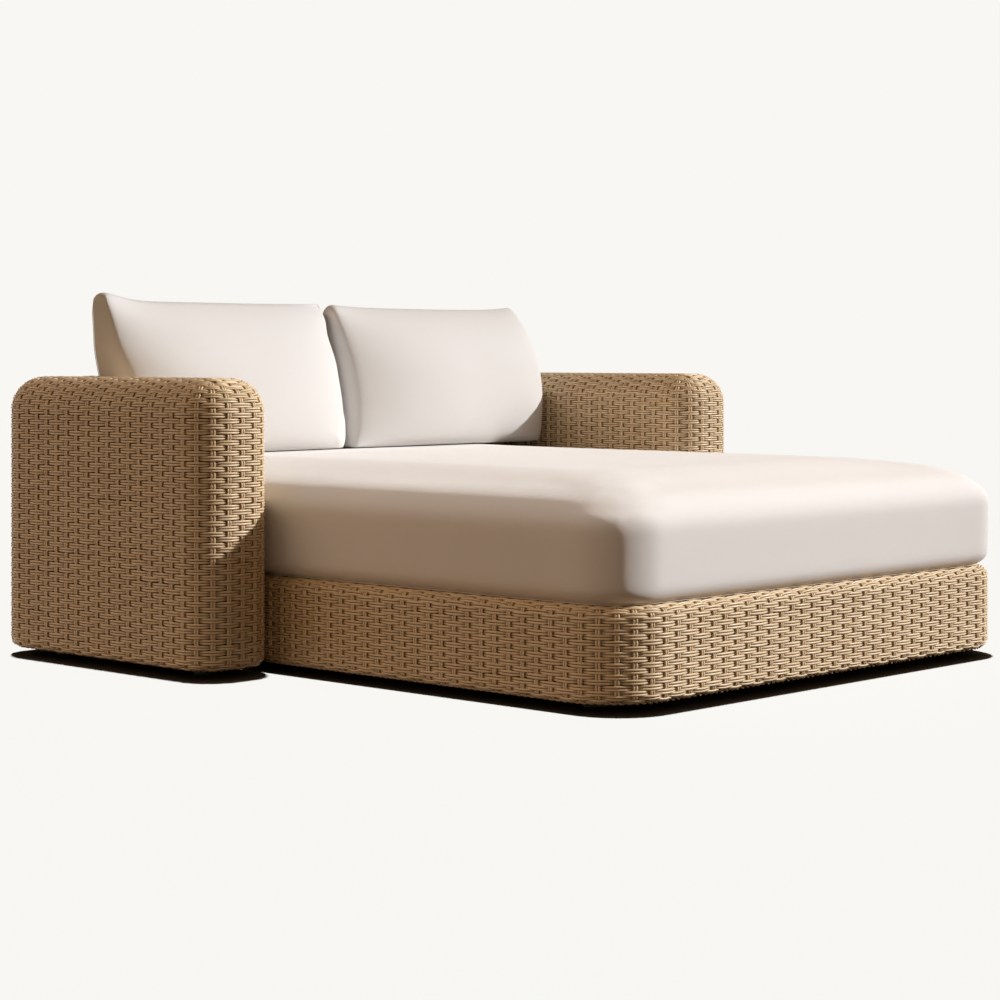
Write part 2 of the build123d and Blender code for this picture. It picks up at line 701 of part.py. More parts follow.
with BuildPart() as mattress_zip:
    with Locations((0, zip_back_y, zip_groove_z)):
        Box(
            mattress_zip_length, zip_depth, zip_width,
            align=(Align.CENTER, Align.MIN, Align.CENTER),
        )
    with Locations((mattress_zip_length / 2 - zip_puller_length, zip_back_y + zip_depth, zip_groove_z)):
        Box(
            zip_puller_length, zip_puller_depth, zip_puller_width,
            align=(Align.CENTER, Align.MIN, Align.CENTER),
        )
mattress_zip.part.label = "mattress_zip"
export_step(mattress_zip.part, "parts/mattress_zip.step")

# Back cushions: wedge-shaped, crowned in front, flat behind where they lean on the back
cushion_width = base_half_width - mattress_side_gap - cushion_middle_gap / 2
cushion_rear_y = mattress_rear_y
cushion_bottom = mattress_top + rest_gap


def cushion_body(mid_x, skin):
    """A back cushion's form, drawn in by a skin thickness on every side."""
    rows = zip(cushion_height_shares, cushion_depth_shares, cushion_crown_shares, cushion_draw_shares)
    with BuildPart() as body:
        for height_share, depth_share, crown_share, draw_share in rows:
            level = cushion_bottom + skin + height_share * (cushion_height - 2 * skin)
            half = cushion_width / 2 - draw_share * cushion_draw - skin
            rear = cushion_rear_y - skin
            edge = cushion_rear_y - depth_share * cushion_depth + skin
            crest = edge - crown_share * cushion_crown
            with BuildSketch(Plane.XY.offset(level)):
                with BuildLine():
                    Line((mid_x - half, rear), (mid_x + half, rear))
                    Line((mid_x + half, rear), (mid_x + half, edge))
                    ThreePointArc((mid_x + half, edge), (mid_x, crest), (mid_x - half, edge))
                    Line((mid_x - half, edge), (mid_x - half, rear))
                make_face()
        loft()
    return body.part


cushion_zip_length = cushion_width * zip_length_share
cushion_zip_y = cushion_rear_y - cushion_depth / 2
zip_top = cushion_bottom + cover_thickness / 2
for side, side_name in ((-1, "left"), (1, "right")):
    cushion_x = side * (cushion_middle_gap + cushion_width) / 2

    with BuildPart() as cushion_cover:
        add(cushion_body(cushion_x, 0))
        add(cushion_body(cushion_x, cover_thickness), mode=Mode.SUBTRACT)
        with Locations((cushion_x, cushion_zip_y, zip_top)):
            Box(cushion_zip_length, zip_width, overrun, align=down, mode=Mode.SUBTRACT)
    cushion_cover.part.label = f"{side_name}_cushion_cover"
    export_step(cushion_cover.part, f"parts/{side_name}_cushion_cover.step")

    with BuildPart() as cushion_filling:
        add(cushion_body(cushion_x, cover_thickness + filling_gap))
    cushion_filling.part.label = f"{side_name}_cushion_filling"
    export_step(cushion_filling.part, f"parts/{side_name}_cushion_filling.step")

    with BuildPart() as cushion_zip:
        with Locations((cushion_x, cushion_zip_y, zip_top)):
            Box(cushion_zip_length, zip_width, zip_depth, align=down)
    cushion_zip.part.label = f"{side_name}_cushion_zip"
    export_step(cushion_zip.part, f"parts/{side_name}_cushion_zip.step")
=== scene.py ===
"""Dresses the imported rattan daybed: paired woven strands, stuffed covers and finishes."""

import logging
import math
from dataclasses import dataclass, field
from enum import Enum
from functools import partial
from typing import Callable, Sequence

import bmesh
import bpy
import numpy as np
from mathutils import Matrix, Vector


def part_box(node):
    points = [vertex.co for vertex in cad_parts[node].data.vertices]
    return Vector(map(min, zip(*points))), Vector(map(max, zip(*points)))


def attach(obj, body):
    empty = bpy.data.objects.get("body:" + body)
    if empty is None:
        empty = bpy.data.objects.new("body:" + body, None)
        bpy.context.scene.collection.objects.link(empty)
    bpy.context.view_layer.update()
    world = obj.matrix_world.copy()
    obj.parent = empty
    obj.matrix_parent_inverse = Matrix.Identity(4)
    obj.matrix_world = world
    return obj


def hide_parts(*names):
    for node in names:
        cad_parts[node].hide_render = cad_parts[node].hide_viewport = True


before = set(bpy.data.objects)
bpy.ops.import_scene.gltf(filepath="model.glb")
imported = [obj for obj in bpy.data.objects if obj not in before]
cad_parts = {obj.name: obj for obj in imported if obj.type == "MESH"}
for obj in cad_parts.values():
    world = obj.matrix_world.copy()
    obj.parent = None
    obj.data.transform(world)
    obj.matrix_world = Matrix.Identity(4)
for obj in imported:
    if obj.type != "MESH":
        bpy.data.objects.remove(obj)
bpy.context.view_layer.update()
LOG = logging.getLogger("daybed")
QUARTER = math.pi / 2
TINY = 1e-6
LEAST = 1e-9

Array = np.ndarray
Object = bpy.types.Object
Mesh = bpy.types.Mesh
Tree = bpy.types.NodeTree
Socket = bpy.types.NodeSocket
Colour = tuple[float, float, float]
Pair = tuple[float, float]
Form = Callable[[Array, Array, Array], Array]


class Side(Enum):
    """Left or right of the daybed, seen from the front."""

    LEFT = -1
    RIGHT = 1

    @property
    def word(self) -> str:
        """The side's name as the CAD nodes spell it."""
        return self.name.lower()


class Wave(Enum):
    """How a strand moves between the strands it crosses."""

    WEFT = "weft"
    UPRIGHT = "upright"


class Reach(Enum):
    """Whether a lamp lights only the object that it is linked to, or all but that one."""

    ONLY = "INCLUDE"
    ALL_BUT = "EXCLUDE"


def rgba(colour: Colour) -> tuple[float, float, float, float]:
    """The colour with full opacity."""
    return (*colour, 1.0)


class Graph:
    """Lays nodes into one node tree and links them as it goes."""

    def __init__(self, tree: Tree) -> None:
        """Empties the tree."""
        self.tree = tree
        self.tree.nodes.clear()

    def node(self, kind: str, inputs: dict | None = None, **settings: object) -> bpy.types.Node:
        """Adds a node with its settings and inputs.

        Args:
            kind: Blender's name of the node type.
            inputs: Values or sockets for the node's inputs, by name or number.
            **settings: Properties of the node itself.

        Returns:
            The new node.
        """
        made = self.tree.nodes.new(kind)
        for name, value in settings.items():
            setattr(made, name, value)
        for key, value in (inputs or {}).items():
            if isinstance(value, Socket):
                self.tree.links.new(value, made.inputs[key])
            else:
                made.inputs[key].default_value = value
        return made

    def math(self, operation: str, first: object, second: object = 0.0, clamp: bool = False) -> Socket:
        """One arithmetic step, named as the Math node spells it."""
        made = self.node("ShaderNodeMath", {0: first, 1: second}, operation=operation, use_clamp=clamp)
        return made.outputs[0]

    def vector(self, operation: str, first: object, second: object) -> Socket:
        """One vector step, named as the Vector Math node spells it."""
        inputs = {0: first, "Scale" if operation == "SCALE" else 1: second}
        return self.node("ShaderNodeVectorMath", inputs, operation=operation).outputs[0]

    def blend(self, share: object, first: object, second: object) -> Socket:
        """A mix of two colours, where share is how much of the second shows."""
        return self.node("ShaderNodeMix", {0: share, 6: first, 7: second}, data_type="RGBA").outputs[2]

    def between(self, value: object, low: float, high: float,
                to_low: float = 0.0, to_high: float = 1.0) -> Socket:
        """A value moved from one range to another and kept inside it."""
        inputs = {"Value": value, "From Min": low, "From Max": high, "To Min": to_low, "To Max": to_high}
        return self.node("ShaderNodeMapRange", inputs).outputs[0]

    def noise(self, place: object, scale: object, detail: float) -> Socket:
        """Noise over a place."""
        return self.node("ShaderNodeTexNoise", {"Vector": place, "Scale": scale, "Detail": detail}).outputs[0]


class SurfaceGroup(Graph):
    """A shader group that gives a colour, a roughness and a height."""

    def __init__(self, name: str, defaults: dict[str, Colour | float]) -> None:
        """Starts the group.

        Args:
            name: Name of the group.
            defaults: Colour or number of each input where a finish gives none.
        """
        super().__init__(bpy.data.node_groups.new(name, "ShaderNodeTree"))
        self.defaults = defaults
        kinds = {label: isinstance(value, tuple) for label, value in defaults.items()}
        outputs = {"Color": True, "Roughness": False, "Height": False}
        for way, sockets in (("INPUT", kinds), ("OUTPUT", outputs)):
            for label, coloured in sockets.items():
                kind = "NodeSocketColor" if coloured else "NodeSocketFloat"
                self.tree.interface.new_socket(label, in_out=way, socket_type=kind)
        self.given = self.node("NodeGroupInput").outputs
        self.out = self.node("NodeGroupOutput")
        self.place = self.node("ShaderNodeTexCoord").outputs["Object"]

    def close(self, *sockets: Socket) -> "SurfaceGroup":
        """Links colour, roughness and height to the group's output.

        Args:
            *sockets: The three sockets, in that order.

        Returns:
            The group itself.
        """
        for socket, end in zip(sockets, self.out.inputs):
            self.tree.links.new(socket, end)
        return self


def mottled_surface() -> SurfaceGroup:
    """Cloudy colour, fine speckle and a grainy height over any solid.

    Returns:
        The group.
    """
    group = SurfaceGroup("mottled_surface", {
        "Base": (0.5, 0.5, 0.5), "Shade": (0.4, 0.4, 0.4), "Cloud Scale": 6.0, "Grain Scale": 600.0,
        "Contrast": 0.5, "Roughness": 0.5, "Roughness Spread": 0.12,
    })
    given = group.given
    grain = group.noise(group.place, given["Grain Scale"], 2.0)
    cloudy = group.between(group.noise(group.place, given["Cloud Scale"], 4.0), 0.35, 0.68)
    speckled = group.math("ADD", cloudy, group.between(grain, 0.3, 0.7, -0.35, 0.35))
    share = group.math("MULTIPLY", speckled, given["Contrast"], clamp=True)
    spread = group.math("MULTIPLY", group.math("SUBTRACT", cloudy, 0.5), given["Roughness Spread"])
    rough = group.math("ADD", given["Roughness"], spread, clamp=True)
    return group.close(group.blend(share, given["Base"], given["Shade"]), rough, grain)


def rattan_strand() -> SurfaceGroup:
    """Colour, sheen and fine grooves of a round woven strand, with painted shade where it dips under another.

    Returns:
        The group.
    """
    group = SurfaceGroup("rattan_strand", {
        # The deep colour serves both the dark grain lines and the painted shade where a strand dips under
        # another.
        "Pale": (0.85, 0.665, 0.43), "Honey": (0.69, 0.505, 0.29), "Deep": (0.11, 0.055, 0.022),
        "Streak Length": 48.0, "Streak Count": 620.0,
    })
    given = group.given
    tone = group.node("ShaderNodeAttribute", attribute_name="tone").outputs["Fac"]
    crest = group.node("ShaderNodeAttribute", attribute_name="crest").outputs["Fac"]
    on_strand = group.node("ShaderNodeUVMap", uv_map="OFBake").outputs["UV"]
    pitch = {0: given["Streak Length"], 1: given["Streak Count"], 2: 1.0}
    stretch = group.node("ShaderNodeCombineXYZ", pitch)
    streak = group.noise(group.vector("MULTIPLY", on_strand, stretch.outputs[0]), 1.0, 2.0)
    patch = group.noise(group.place, 14.0, 3.0)
    patchy = group.math("MULTIPLY", group.between(patch, 0.3, 0.7), 0.45)
    mixed = group.math("ADD", group.math("MULTIPLY", tone, 0.55), patchy)
    body = group.blend(mixed, given["Honey"], given["Pale"])
    # Dark grain lines along the strand, in the deep colour.
    lined = group.blend(group.between(streak, 0.45, 0.8, 0.0, 0.4), body, given["Deep"])
    # Painted shade: the strand turns towards the deep colour where its crest is low, where it dips under
    # another strand.
    colour = group.blend(group.between(crest, -1.0, 0.45, 0.8, 0.0), lined, given["Deep"])
    uneven = group.math("ADD", streak, group.math("MULTIPLY", patch, 0.5))
    return group.close(colour, group.between(uneven, 0.4, 1.1, 0.30, 0.52), streak)


def plain_cloth() -> SurfaceGroup:
    """A plain weave that follows a panel's own map, with slubs and soft shading.

    Returns:
        The group.
    """
    group = SurfaceGroup("plain_cloth", {
        "Base": (0.85, 0.78, 0.7), "Shade": (0.7, 0.62, 0.53),
        "Threads": 1100.0, "Slub": 0.25, "Roughness": 0.85,
    })
    given = group.given
    panel = group.node("ShaderNodeUVMap", uv_map="Panel").outputs["UV"]
    parts = group.node("ShaderNodeSeparateXYZ", {0: panel}).outputs
    turns = group.math("MULTIPLY", given["Threads"], math.pi)
    across, up = (group.math("SINE", group.math("MULTIPLY", parts[axis], turns)) for axis in (0, 1))
    weave = group.math("MULTIPLY", across, up)
    stretches = ((90.0, 900.0, 1.0), (900.0, 110.0, 1.0))
    drawn = [group.vector("MULTIPLY", panel, stretch) for stretch in stretches]
    slub, cross_slub = (group.noise(place, 1.0, 2.0) for place in drawn)
    slubs = group.math("MULTIPLY", group.math("ADD", slub, cross_slub), 0.5)
    fleck = group.math("MULTIPLY", group.between(slubs, 0.38, 0.66), given["Slub"])
    soft = group.between(group.noise(group.place, 5.0, 3.0), 0.3, 0.75, 0.0, 0.22)
    woven = group.between(weave, -1.0, 1.0, 0.12, 0.0)
    share = group.math("ADD", group.math("ADD", fleck, soft), woven, clamp=True)
    rough = group.math("ADD", given["Roughness"], group.between(slubs, 0.3, 0.7, -0.06, 0.06), clamp=True)
    height = group.math("ADD", group.math("MULTIPLY", weave, 0.35), slubs)
    return group.close(group.blend(share, given["Base"], given["Shade"]), rough, height)


MOTTLED, STRAND, CLOTH = mottled_surface(), rattan_strand(), plain_cloth()


@dataclass(frozen=True)
class Finish:
    """A material: its shader group, what it gives to it, its relief and its shine."""

    name: str
    group: SurfaceGroup
    values: dict[str, Colour | float]
    bump: float = 0.3
    bump_depth: float = 0.0004
    metallic: float = 0.0
    specular: float = 0.5
    sheen: float = 0.0
    sheen_roughness: float = 0.6

    def material(self) -> bpy.types.Material:
        """Builds the material, or finds it if it was built before.

        Returns:
            The material of this finish.
        """
        if self.name in bpy.data.materials:
            return bpy.data.materials[self.name]
        made = bpy.data.materials.new(self.name)
        made.use_nodes = True
        graph = Graph(made.node_tree)
        surface = graph.node("ShaderNodeGroup", node_tree=self.group.tree)
        for label, value in {**self.group.defaults, **self.values}.items():
            surface.inputs[label].default_value = rgba(value) if isinstance(value, tuple) else value
        relief = {"Strength": self.bump, "Distance": self.bump_depth, "Height": surface.outputs["Height"]}
        shader = graph.node("ShaderNodeBsdfPrincipled", {
            "Base Color": surface.outputs["Color"], "Roughness": surface.outputs["Roughness"],
            "Normal": graph.node("ShaderNodeBump", relief).outputs[0], "Metallic": self.metallic,
            "Specular IOR Level": self.specular, "Sheen Weight": self.sheen,
            "Sheen Roughness": self.sheen_roughness,
        })
        graph.node("ShaderNodeOutputMaterial", {"Surface": shader.outputs[0]})
        return made


def mottled(name: str, base: Colour, shade: Colour, cloud: float, grain: float, rough: float,
            spread: float = 0.12, **shine: float) -> Finish:
    """A coated, cast, moulded or stuffed finish.

    Args:
        name: Name of the material.
        base: Main colour.
        shade: Colour of the clouds.
        cloud: Scale of the clouds.
        grain: Scale of the grain.
        rough: Roughness.
        spread: How much the roughness wanders.
        **shine: Relief and shine, as Finish has them.

    Returns:
        The finish.
    """
    values = {
        "Base": base, "Shade": shade, "Cloud Scale": cloud, "Grain Scale": grain,
        "Roughness": rough, "Roughness Spread": spread,
    }
    return Finish(name, MOTTLED, values, **shine)


def cover_cloth(name: str, base: Colour, shade: Colour) -> Finish:
    """A plain-woven cover cloth in two near tones."""
    values = {"Base": base, "Shade": shade}
    return Finish(name, CLOTH, values, bump=0.6, bump_depth=0.0009, sheen=0.12, specular=0.25)


RATTAN = Finish("honey_rattan", STRAND, {}, bump=0.35)
# Painted shade: a near-black brown shell behind the strands stands in for the shade seen through the gaps of
# the weave.
SHADE_SHELL = mottled(
    "woven_lining", (0.05, 0.028, 0.013), (0.025, 0.013, 0.006), 6.0, 600.0, 0.9, specular=0.2
)
FRAME_COAT = mottled(
    "bronze_powder_coat", (0.155, 0.098, 0.058), (0.11, 0.066, 0.036), 6.0, 1400.0, 0.46, bump=0.25
)
SLAT_COAT = mottled(
    "slat_powder_coat", (0.19, 0.125, 0.078), (0.14, 0.088, 0.052), 3.0, 1200.0, 0.5, bump=0.2
)
STEEL = mottled(
    "plain_steel", (0.62, 0.61, 0.59), (0.48, 0.47, 0.45), 40.0, 900.0, 0.3, 0.2,
    bump=0.15, metallic=1.0,
)
GLIDE_PLASTIC = mottled(
    "glide_plastic", (0.022, 0.021, 0.02), (0.045, 0.043, 0.04), 25.0, 1800.0, 0.62, bump=0.4, specular=0.4
)
COVER_SEAM = mottled(
    "cover_seam_thread", (0.84, 0.805, 0.775), (0.76, 0.715, 0.675), 40.0, 1500.0, 0.85,
    bump=0.4, bump_depth=0.0002, specular=0.25,
)
FOAM = mottled(
    "foam_core", (0.86, 0.8, 0.62), (0.74, 0.66, 0.46), 9.0, 420.0, 0.95,
    bump=0.6, bump_depth=0.0015, specular=0.1,
)
FIBRE = mottled(
    "fibre_filling", (0.9, 0.88, 0.85), (0.78, 0.76, 0.72), 12.0, 160.0, 0.97,
    bump=0.7, bump_depth=0.002, specular=0.1, sheen=0.2,
)
ZIP_TAPE = mottled(
    "zip_tape", (0.78, 0.72, 0.66), (0.66, 0.6, 0.53), 30.0, 1600.0, 0.85,
    bump=0.5, bump_depth=0.0002, specular=0.2,
)
ZIP_NYLON = mottled("zip_nylon", (0.74, 0.67, 0.59), (0.62, 0.55, 0.47), 60.0, 2200.0, 0.5, specular=0.4)
COVER_CLOTH = cover_cloth("cream_cover_cloth", (0.895, 0.862, 0.84), (0.81, 0.78, 0.755))
# Painted shade: the same cream cloth made darker for the back cushions, to tone down how brightly they are
# lit.
SHADED_CUSHION_CLOTH = cover_cloth("cream_cushion_cloth", (0.775, 0.758, 0.745), (0.75, 0.725, 0.70))


def new_object(name: str, data: Mesh | bpy.types.Light | bpy.types.Camera) -> Object:
    """Puts a mesh, a lamp or a camera into the scene as an object at the origin.

    Args:
        name: Name of the object.
        data: What it shows.

    Returns:
        The object.
    """
    made = bpy.data.objects.new(name, data)
    bpy.context.scene.collection.objects.link(made)
    return made


def settled_mesh(made: Object, name: str) -> Mesh:
    """Turns a helper object into a plain mesh with its modifiers applied, and removes it.

    Args:
        made: The helper object.
        name: Name of the new mesh.

    Returns:
        The new mesh.
    """
    graph = bpy.context.evaluated_depsgraph_get()
    settled, rough = made.evaluated_get(graph), made.data
    mesh = bpy.data.meshes.new_from_object(settled, preserve_all_data_layers=True, depsgraph=graph)
    bpy.data.objects.remove(made)
    bpy.data.meshes.remove(rough)
    mesh.name = name
    return mesh


def shaped(name: str, shape: bmesh.types.BMesh, finish: Finish, smooth: bool = False) -> Object:
    """Makes a piece from a finished bmesh.

    Args:
        name: Name of the piece.
        shape: Its form, which is freed.
        finish: Its finish.
        smooth: Whether it is shaded smooth.

    Returns:
        The piece.
    """
    bmesh.ops.recalc_face_normals(shape, faces=shape.faces)
    mesh = bpy.data.meshes.new(name)
    shape.to_mesh(mesh)
    shape.free()
    mesh.polygons.foreach_set("use_smooth", [smooth] * len(mesh.polygons))
    mesh.materials.append(finish.material())
    return new_object(name, mesh)


def read_points(mesh: Mesh) -> Array:
    """Where a mesh's points are.

    Args:
        mesh: The mesh.

    Returns:
        The points, one row each.
    """
    points = np.zeros(len(mesh.vertices) * 3, np.float32)
    mesh.vertices.foreach_get("co", points)
    return points.reshape(-1, 3)


def write_points(mesh: Mesh, points: Array) -> None:
    """Puts the mesh's points elsewhere."""
    mesh.vertices.foreach_set("co", points.astype(np.float32).ravel())
    mesh.update()


def weigh(made: Object, name: str, weights: Array, least: float = 0.0) -> None:
    """Gives an object a vertex group.

    Args:
        made: The object.
        name: Name of the group.
        weights: One weight for each point, from 0 to 1.
        least: Weights up to this are left out.
    """
    group = made.vertex_groups.new(name=name)
    steps = np.round(weights, 2)
    for level in np.unique(steps[steps > least]):
        group.add(np.flatnonzero(steps == level).tolist(), float(level), "REPLACE")


def hand_over(piece: Object, body: str, stands_for: Sequence[str] = ()) -> Object:
    """Ties a finished piece to its body, hides the CAD nodes that it replaces, and reports it.

    Args:
        piece: The finished piece.
        body: CAD body that it rides on.
        stands_for: CAD nodes that it replaces.

    Returns:
        The same piece.
    """
    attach(piece, body)
    if stands_for:
        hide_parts(*stands_for)
    faces = sum(len(face.vertices) - 2 for face in piece.data.polygons)
    LOG.info("%s: %d triangles on %s", piece.name, faces, body)
    return piece


def runs_of(shown: Array) -> list[tuple[int, int]]:
    """Start and end of each stretch of True, end not included."""
    edges = np.flatnonzero(np.diff(np.concatenate([[0], shown.astype(int), [0]])))
    return list(zip(edges[::2], edges[1::2]))


class Guides:
    """Centre lines that the strands of one piece follow, and how they lie."""

    LAID = (
        ("out", "FLOAT_VECTOR", "vector"), ("side", "FLOAT_VECTOR", "vector"),
        ("crest", "FLOAT", "value"), ("spread", "FLOAT", "value"), ("tone", "FLOAT", "value"),
    )

    def __init__(self) -> None:
        """Starts with no lines."""
        self.lines: list[dict[str, Array]] = []

    def add(self, seen: Array, tone: float, **laid: Array) -> None:
        """Adds a line for each stretch of a strand pair that is seen.

        Args:
            seen: True where the pair isn't hidden.
            tone: From 0 to 1, how pale this pair is.
            **laid: Along the pair, its points, its directions out of the case (out) and from one strand
                to the other (side), its crest from -1 under to 1 over the strand it crosses, and its
                spread, where 1 is the usual gap.
        """
        laid["tone"] = np.full(len(seen), tone)
        for start, end in runs_of(seen):
            if end - start > 1:
                self.lines.append({label: values[start:end] for label, values in laid.items()})

    def to_object(self, name: str) -> Object:
        """Makes one object of edges from all the lines.

        Args:
            name: Name of the object.

        Returns:
            The object, with its attributes on points.
        """
        points = np.concatenate([line["points"] for line in self.lines])
        edges, start = [], 0
        for line in self.lines:
            steps = np.arange(start, start + len(line["points"]) - 1)
            edges.append(np.stack([steps, steps + 1], axis=1))
            start += len(line["points"])
        mesh = bpy.data.meshes.new(name)
        mesh.from_pydata(points.tolist(), np.concatenate(edges).tolist(), [])
        for label, kind, prop in self.LAID:
            values = np.concatenate([line[label] for line in self.lines]).astype(np.float32)
            mesh.attributes.new(label, kind, "POINT").data.foreach_set(prop, values.ravel())
        return new_object(name, mesh)


class Tool(Graph):
    """A geometry node tree with named inputs, run on a helper object."""

    def __init__(self, name: str, inputs: dict[str, str]) -> None:
        """Starts the tree.

        Args:
            name: Name of the tree.
            inputs: Kind of each input.
        """
        super().__init__(bpy.data.node_groups.new(name, "GeometryNodeTree"))
        face = self.tree.interface
        self.sockets = {}
        for label, kind in {**inputs, "Finish": "Material"}.items():
            made = face.new_socket(label, in_out="INPUT", socket_type=f"NodeSocket{kind}")
            self.sockets[label] = made.identifier
        face.new_socket("Geometry", in_out="OUTPUT", socket_type="NodeSocketGeometry")
        self.given = self.node("NodeGroupInput").outputs
        self.out = self.node("NodeGroupOutput")

    def close(self, shape: Socket) -> None:
        """Gives the shape its finish and links it to the output.

        Args:
            shape: The tree's last shape.
        """
        real = self.node("GeometryNodeRealizeInstances", {0: shape}).outputs[0]
        dressed = self.node("GeometryNodeSetMaterial", {"Geometry": real, "Material": self.given["Finish"]})
        self.tree.links.new(dressed.outputs[0], self.out.inputs[0])

    def run(self, helper: Object, name: str, finish: Finish, values: dict[str, float | int]) -> Object:
        """Makes a piece from a helper object, which is removed.

        Args:
            helper: The object that the tree starts from.
            name: Name of the piece.
            finish: Its finish.
            values: Values for the tree's inputs, by name.

        Returns:
            The piece.
        """
        modifier = helper.modifiers.new("tool", "NODES")
        modifier.node_group = self.tree
        for label, value in {**values, "Finish": finish.material()}.items():
            modifier[self.sockets[label]] = value
        return new_object(name, settled_mesh(helper, name))


class StrandLoom(Tool):
    """Geometry nodes that turn guide lines into pairs of round strands."""

    HELPERS = ("out", "side", "spread", "along", "strand", "around", "first", "last")
    MAP_SHARE, MAP_EDGE = 0.84, 0.08
    TONE_STEP = 0.37

    def __init__(self) -> None:
        """Lays out the tree: pairs, tubes, their map and their finish."""
        super().__init__("strand_loom", {
            "Geometry": "Geometry", "Pair Gap": "Float", "Lift Height": "Float", "Strand Thickness": "Float",
            "Sides": "Int",
        })
        self._map(self._tubes(self._pairs()))

    def _named(self, label: str, kind: str = "FLOAT") -> Socket:
        """An attribute of the guide lines."""
        node = self.node("GeometryNodeInputNamedAttribute", {"Name": label}, data_type=kind)
        return node.outputs["Attribute"]

    def _store(self, shape: Socket, label: str, value: Socket,
               domain: str = "POINT", kind: str = "FLOAT") -> Socket:
        """The shape with one more attribute."""
        inputs = {"Geometry": shape, "Name": label, "Value": value}
        return self.node("GeometryNodeStoreNamedAttribute", inputs, data_type=kind, domain=domain).outputs[0]

    def _pairs(self) -> Socket:
        """Two lines for each guide line, lifted by its crest and set apart by its spread.

        Returns:
            The lines.
        """
        lift = self.math("MULTIPLY", self._named("crest"), self.given["Lift Height"])
        rise = self.vector("SCALE", self._named("out", "FLOAT_VECTOR"), lift)
        gap = self.math("MULTIPLY", self._named("spread"), self.given["Pair Gap"])
        reach = self.math("MULTIPLY", gap, 0.5)
        apart = self.vector("SCALE", self._named("side", "FLOAT_VECTOR"), reach)
        first, other = (
            self.node("GeometryNodeSetPosition", {
                "Geometry": self.given["Geometry"], "Offset": self.vector(way, rise, apart),
            }).outputs[0] for way in ("ADD", "SUBTRACT")
        )
        tone = self.math("FRACT", self.math("ADD", self._named("tone"), self.TONE_STEP))
        both = self.node("GeometryNodeJoinGeometry")
        for lines in (first, self._store(other, "tone", tone)):
            self.tree.links.new(lines, both.inputs[0])
        return self.node("GeometryNodeMeshToCurve", {0: both.outputs[0]}).outputs[0]

    def _tubes(self, lines: Socket) -> Socket:
        """Round tubes along the lines, which know where they are on each strand.

        Args:
            lines: The pairs of lines.

        Returns:
            The tubes.
        """
        lines = self._store(lines, "along", self.node("GeometryNodeSplineParameter").outputs["Factor"])
        lines = self._store(lines, "strand", self.node("GeometryNodeCurveOfPoint").outputs["Curve Index"])
        size = self.node("GeometryNodeAttributeDomainSize", {0: lines}, component="CURVE")
        self.count = size.outputs["Spline Count"]
        sides, step = self.given["Sides"], self.node("GeometryNodeInputIndex").outputs[0]
        radius = self.math("MULTIPLY", self.given["Strand Thickness"], 0.5)
        circle = {"Resolution": sides, "Radius": radius}
        ring = self.node("GeometryNodeCurvePrimitiveCircle", circle).outputs[0]
        for label, value in (
            ("around", self.math("DIVIDE", step, sides)), ("first", self.math("LESS_THAN", step, 0.5)),
            ("last", self.math("GREATER_THAN", step, self.math("SUBTRACT", sides, 1.5))),
        ):
            ring = self._store(ring, label, value)
        inputs = {"Curve": lines, "Profile Curve": ring, "Fill Caps": True}
        return self.node("GeometryNodeCurveToMesh", inputs).outputs[0]

    def _map(self, tubes: Socket) -> None:
        """Gives every strand a band of its own on the map, and closes the tree.

        Args:
            tubes: The tubes.
        """
        at_seam = []
        for label in ("first", "last"):
            inputs = {0: self._named(label)}
            on_face = self.node("GeometryNodeFieldOnDomain", inputs, data_type="FLOAT", domain="FACE")
            at_seam.append(self.math("GREATER_THAN", on_face.outputs[0], 0.25))
        closing = self.math("MULTIPLY", *at_seam)
        over = self.math("MULTIPLY", closing, self._named("first"))
        wrapped = self.math("ADD", self._named("around"), over)
        inside = self.math("ADD", self.math("MULTIPLY", wrapped, self.MAP_SHARE), self.MAP_EDGE)
        height = self.math("DIVIDE", self.math("ADD", self._named("strand"), inside), self.count)
        place = self.node("ShaderNodeCombineXYZ", {0: self._named("along"), 1: height}).outputs[0]
        tubes = self._store(tubes, "OFBake", place, "CORNER", "FLOAT2")
        self.close(self.node("GeometryNodeSetShadeSmooth", {0: tubes}).outputs[0])

    def weave(self, guides: Guides, name: str, sizes: dict[str, float | int]) -> Object:
        """Makes the strands of one piece.

        Args:
            guides: The lines they follow.
            name: Name of the piece.
            sizes: Values for the tree's inputs, by name.

        Returns:
            The finished piece.
        """
        piece = self.run(guides.to_object(f"{name}_lines"), name, RATTAN, sizes)
        for label in self.HELPERS:
            if label in piece.data.attributes:
                piece.data.attributes.remove(piece.data.attributes[label])
        return piece


class Walk:
    """A path of straights and turns, each part of it known by where it starts."""

    turn_steps = 6
    longest_face = math.inf

    def pick(self, distance: Array) -> Array:
        """The number of the part that each distance falls on."""
        return np.clip(np.searchsorted(self.starts, distance, "right") - 1, 0, len(self.parts) - 1)

    def stations(self) -> Array:
        """Distances at which a skin over this path bends.

        Returns:
            The distances, from start to end.
        """
        found = [0.0]
        for (kind, *_), begun, length in zip(self.parts, self.starts, self.lengths):
            steps = self.turn_steps if kind == "turn" else max(1, math.ceil(length / self.longest_face))
            if length > TINY:
                found += [begun + length * (step + 1) / steps for step in range(steps)]
        return np.array(found)


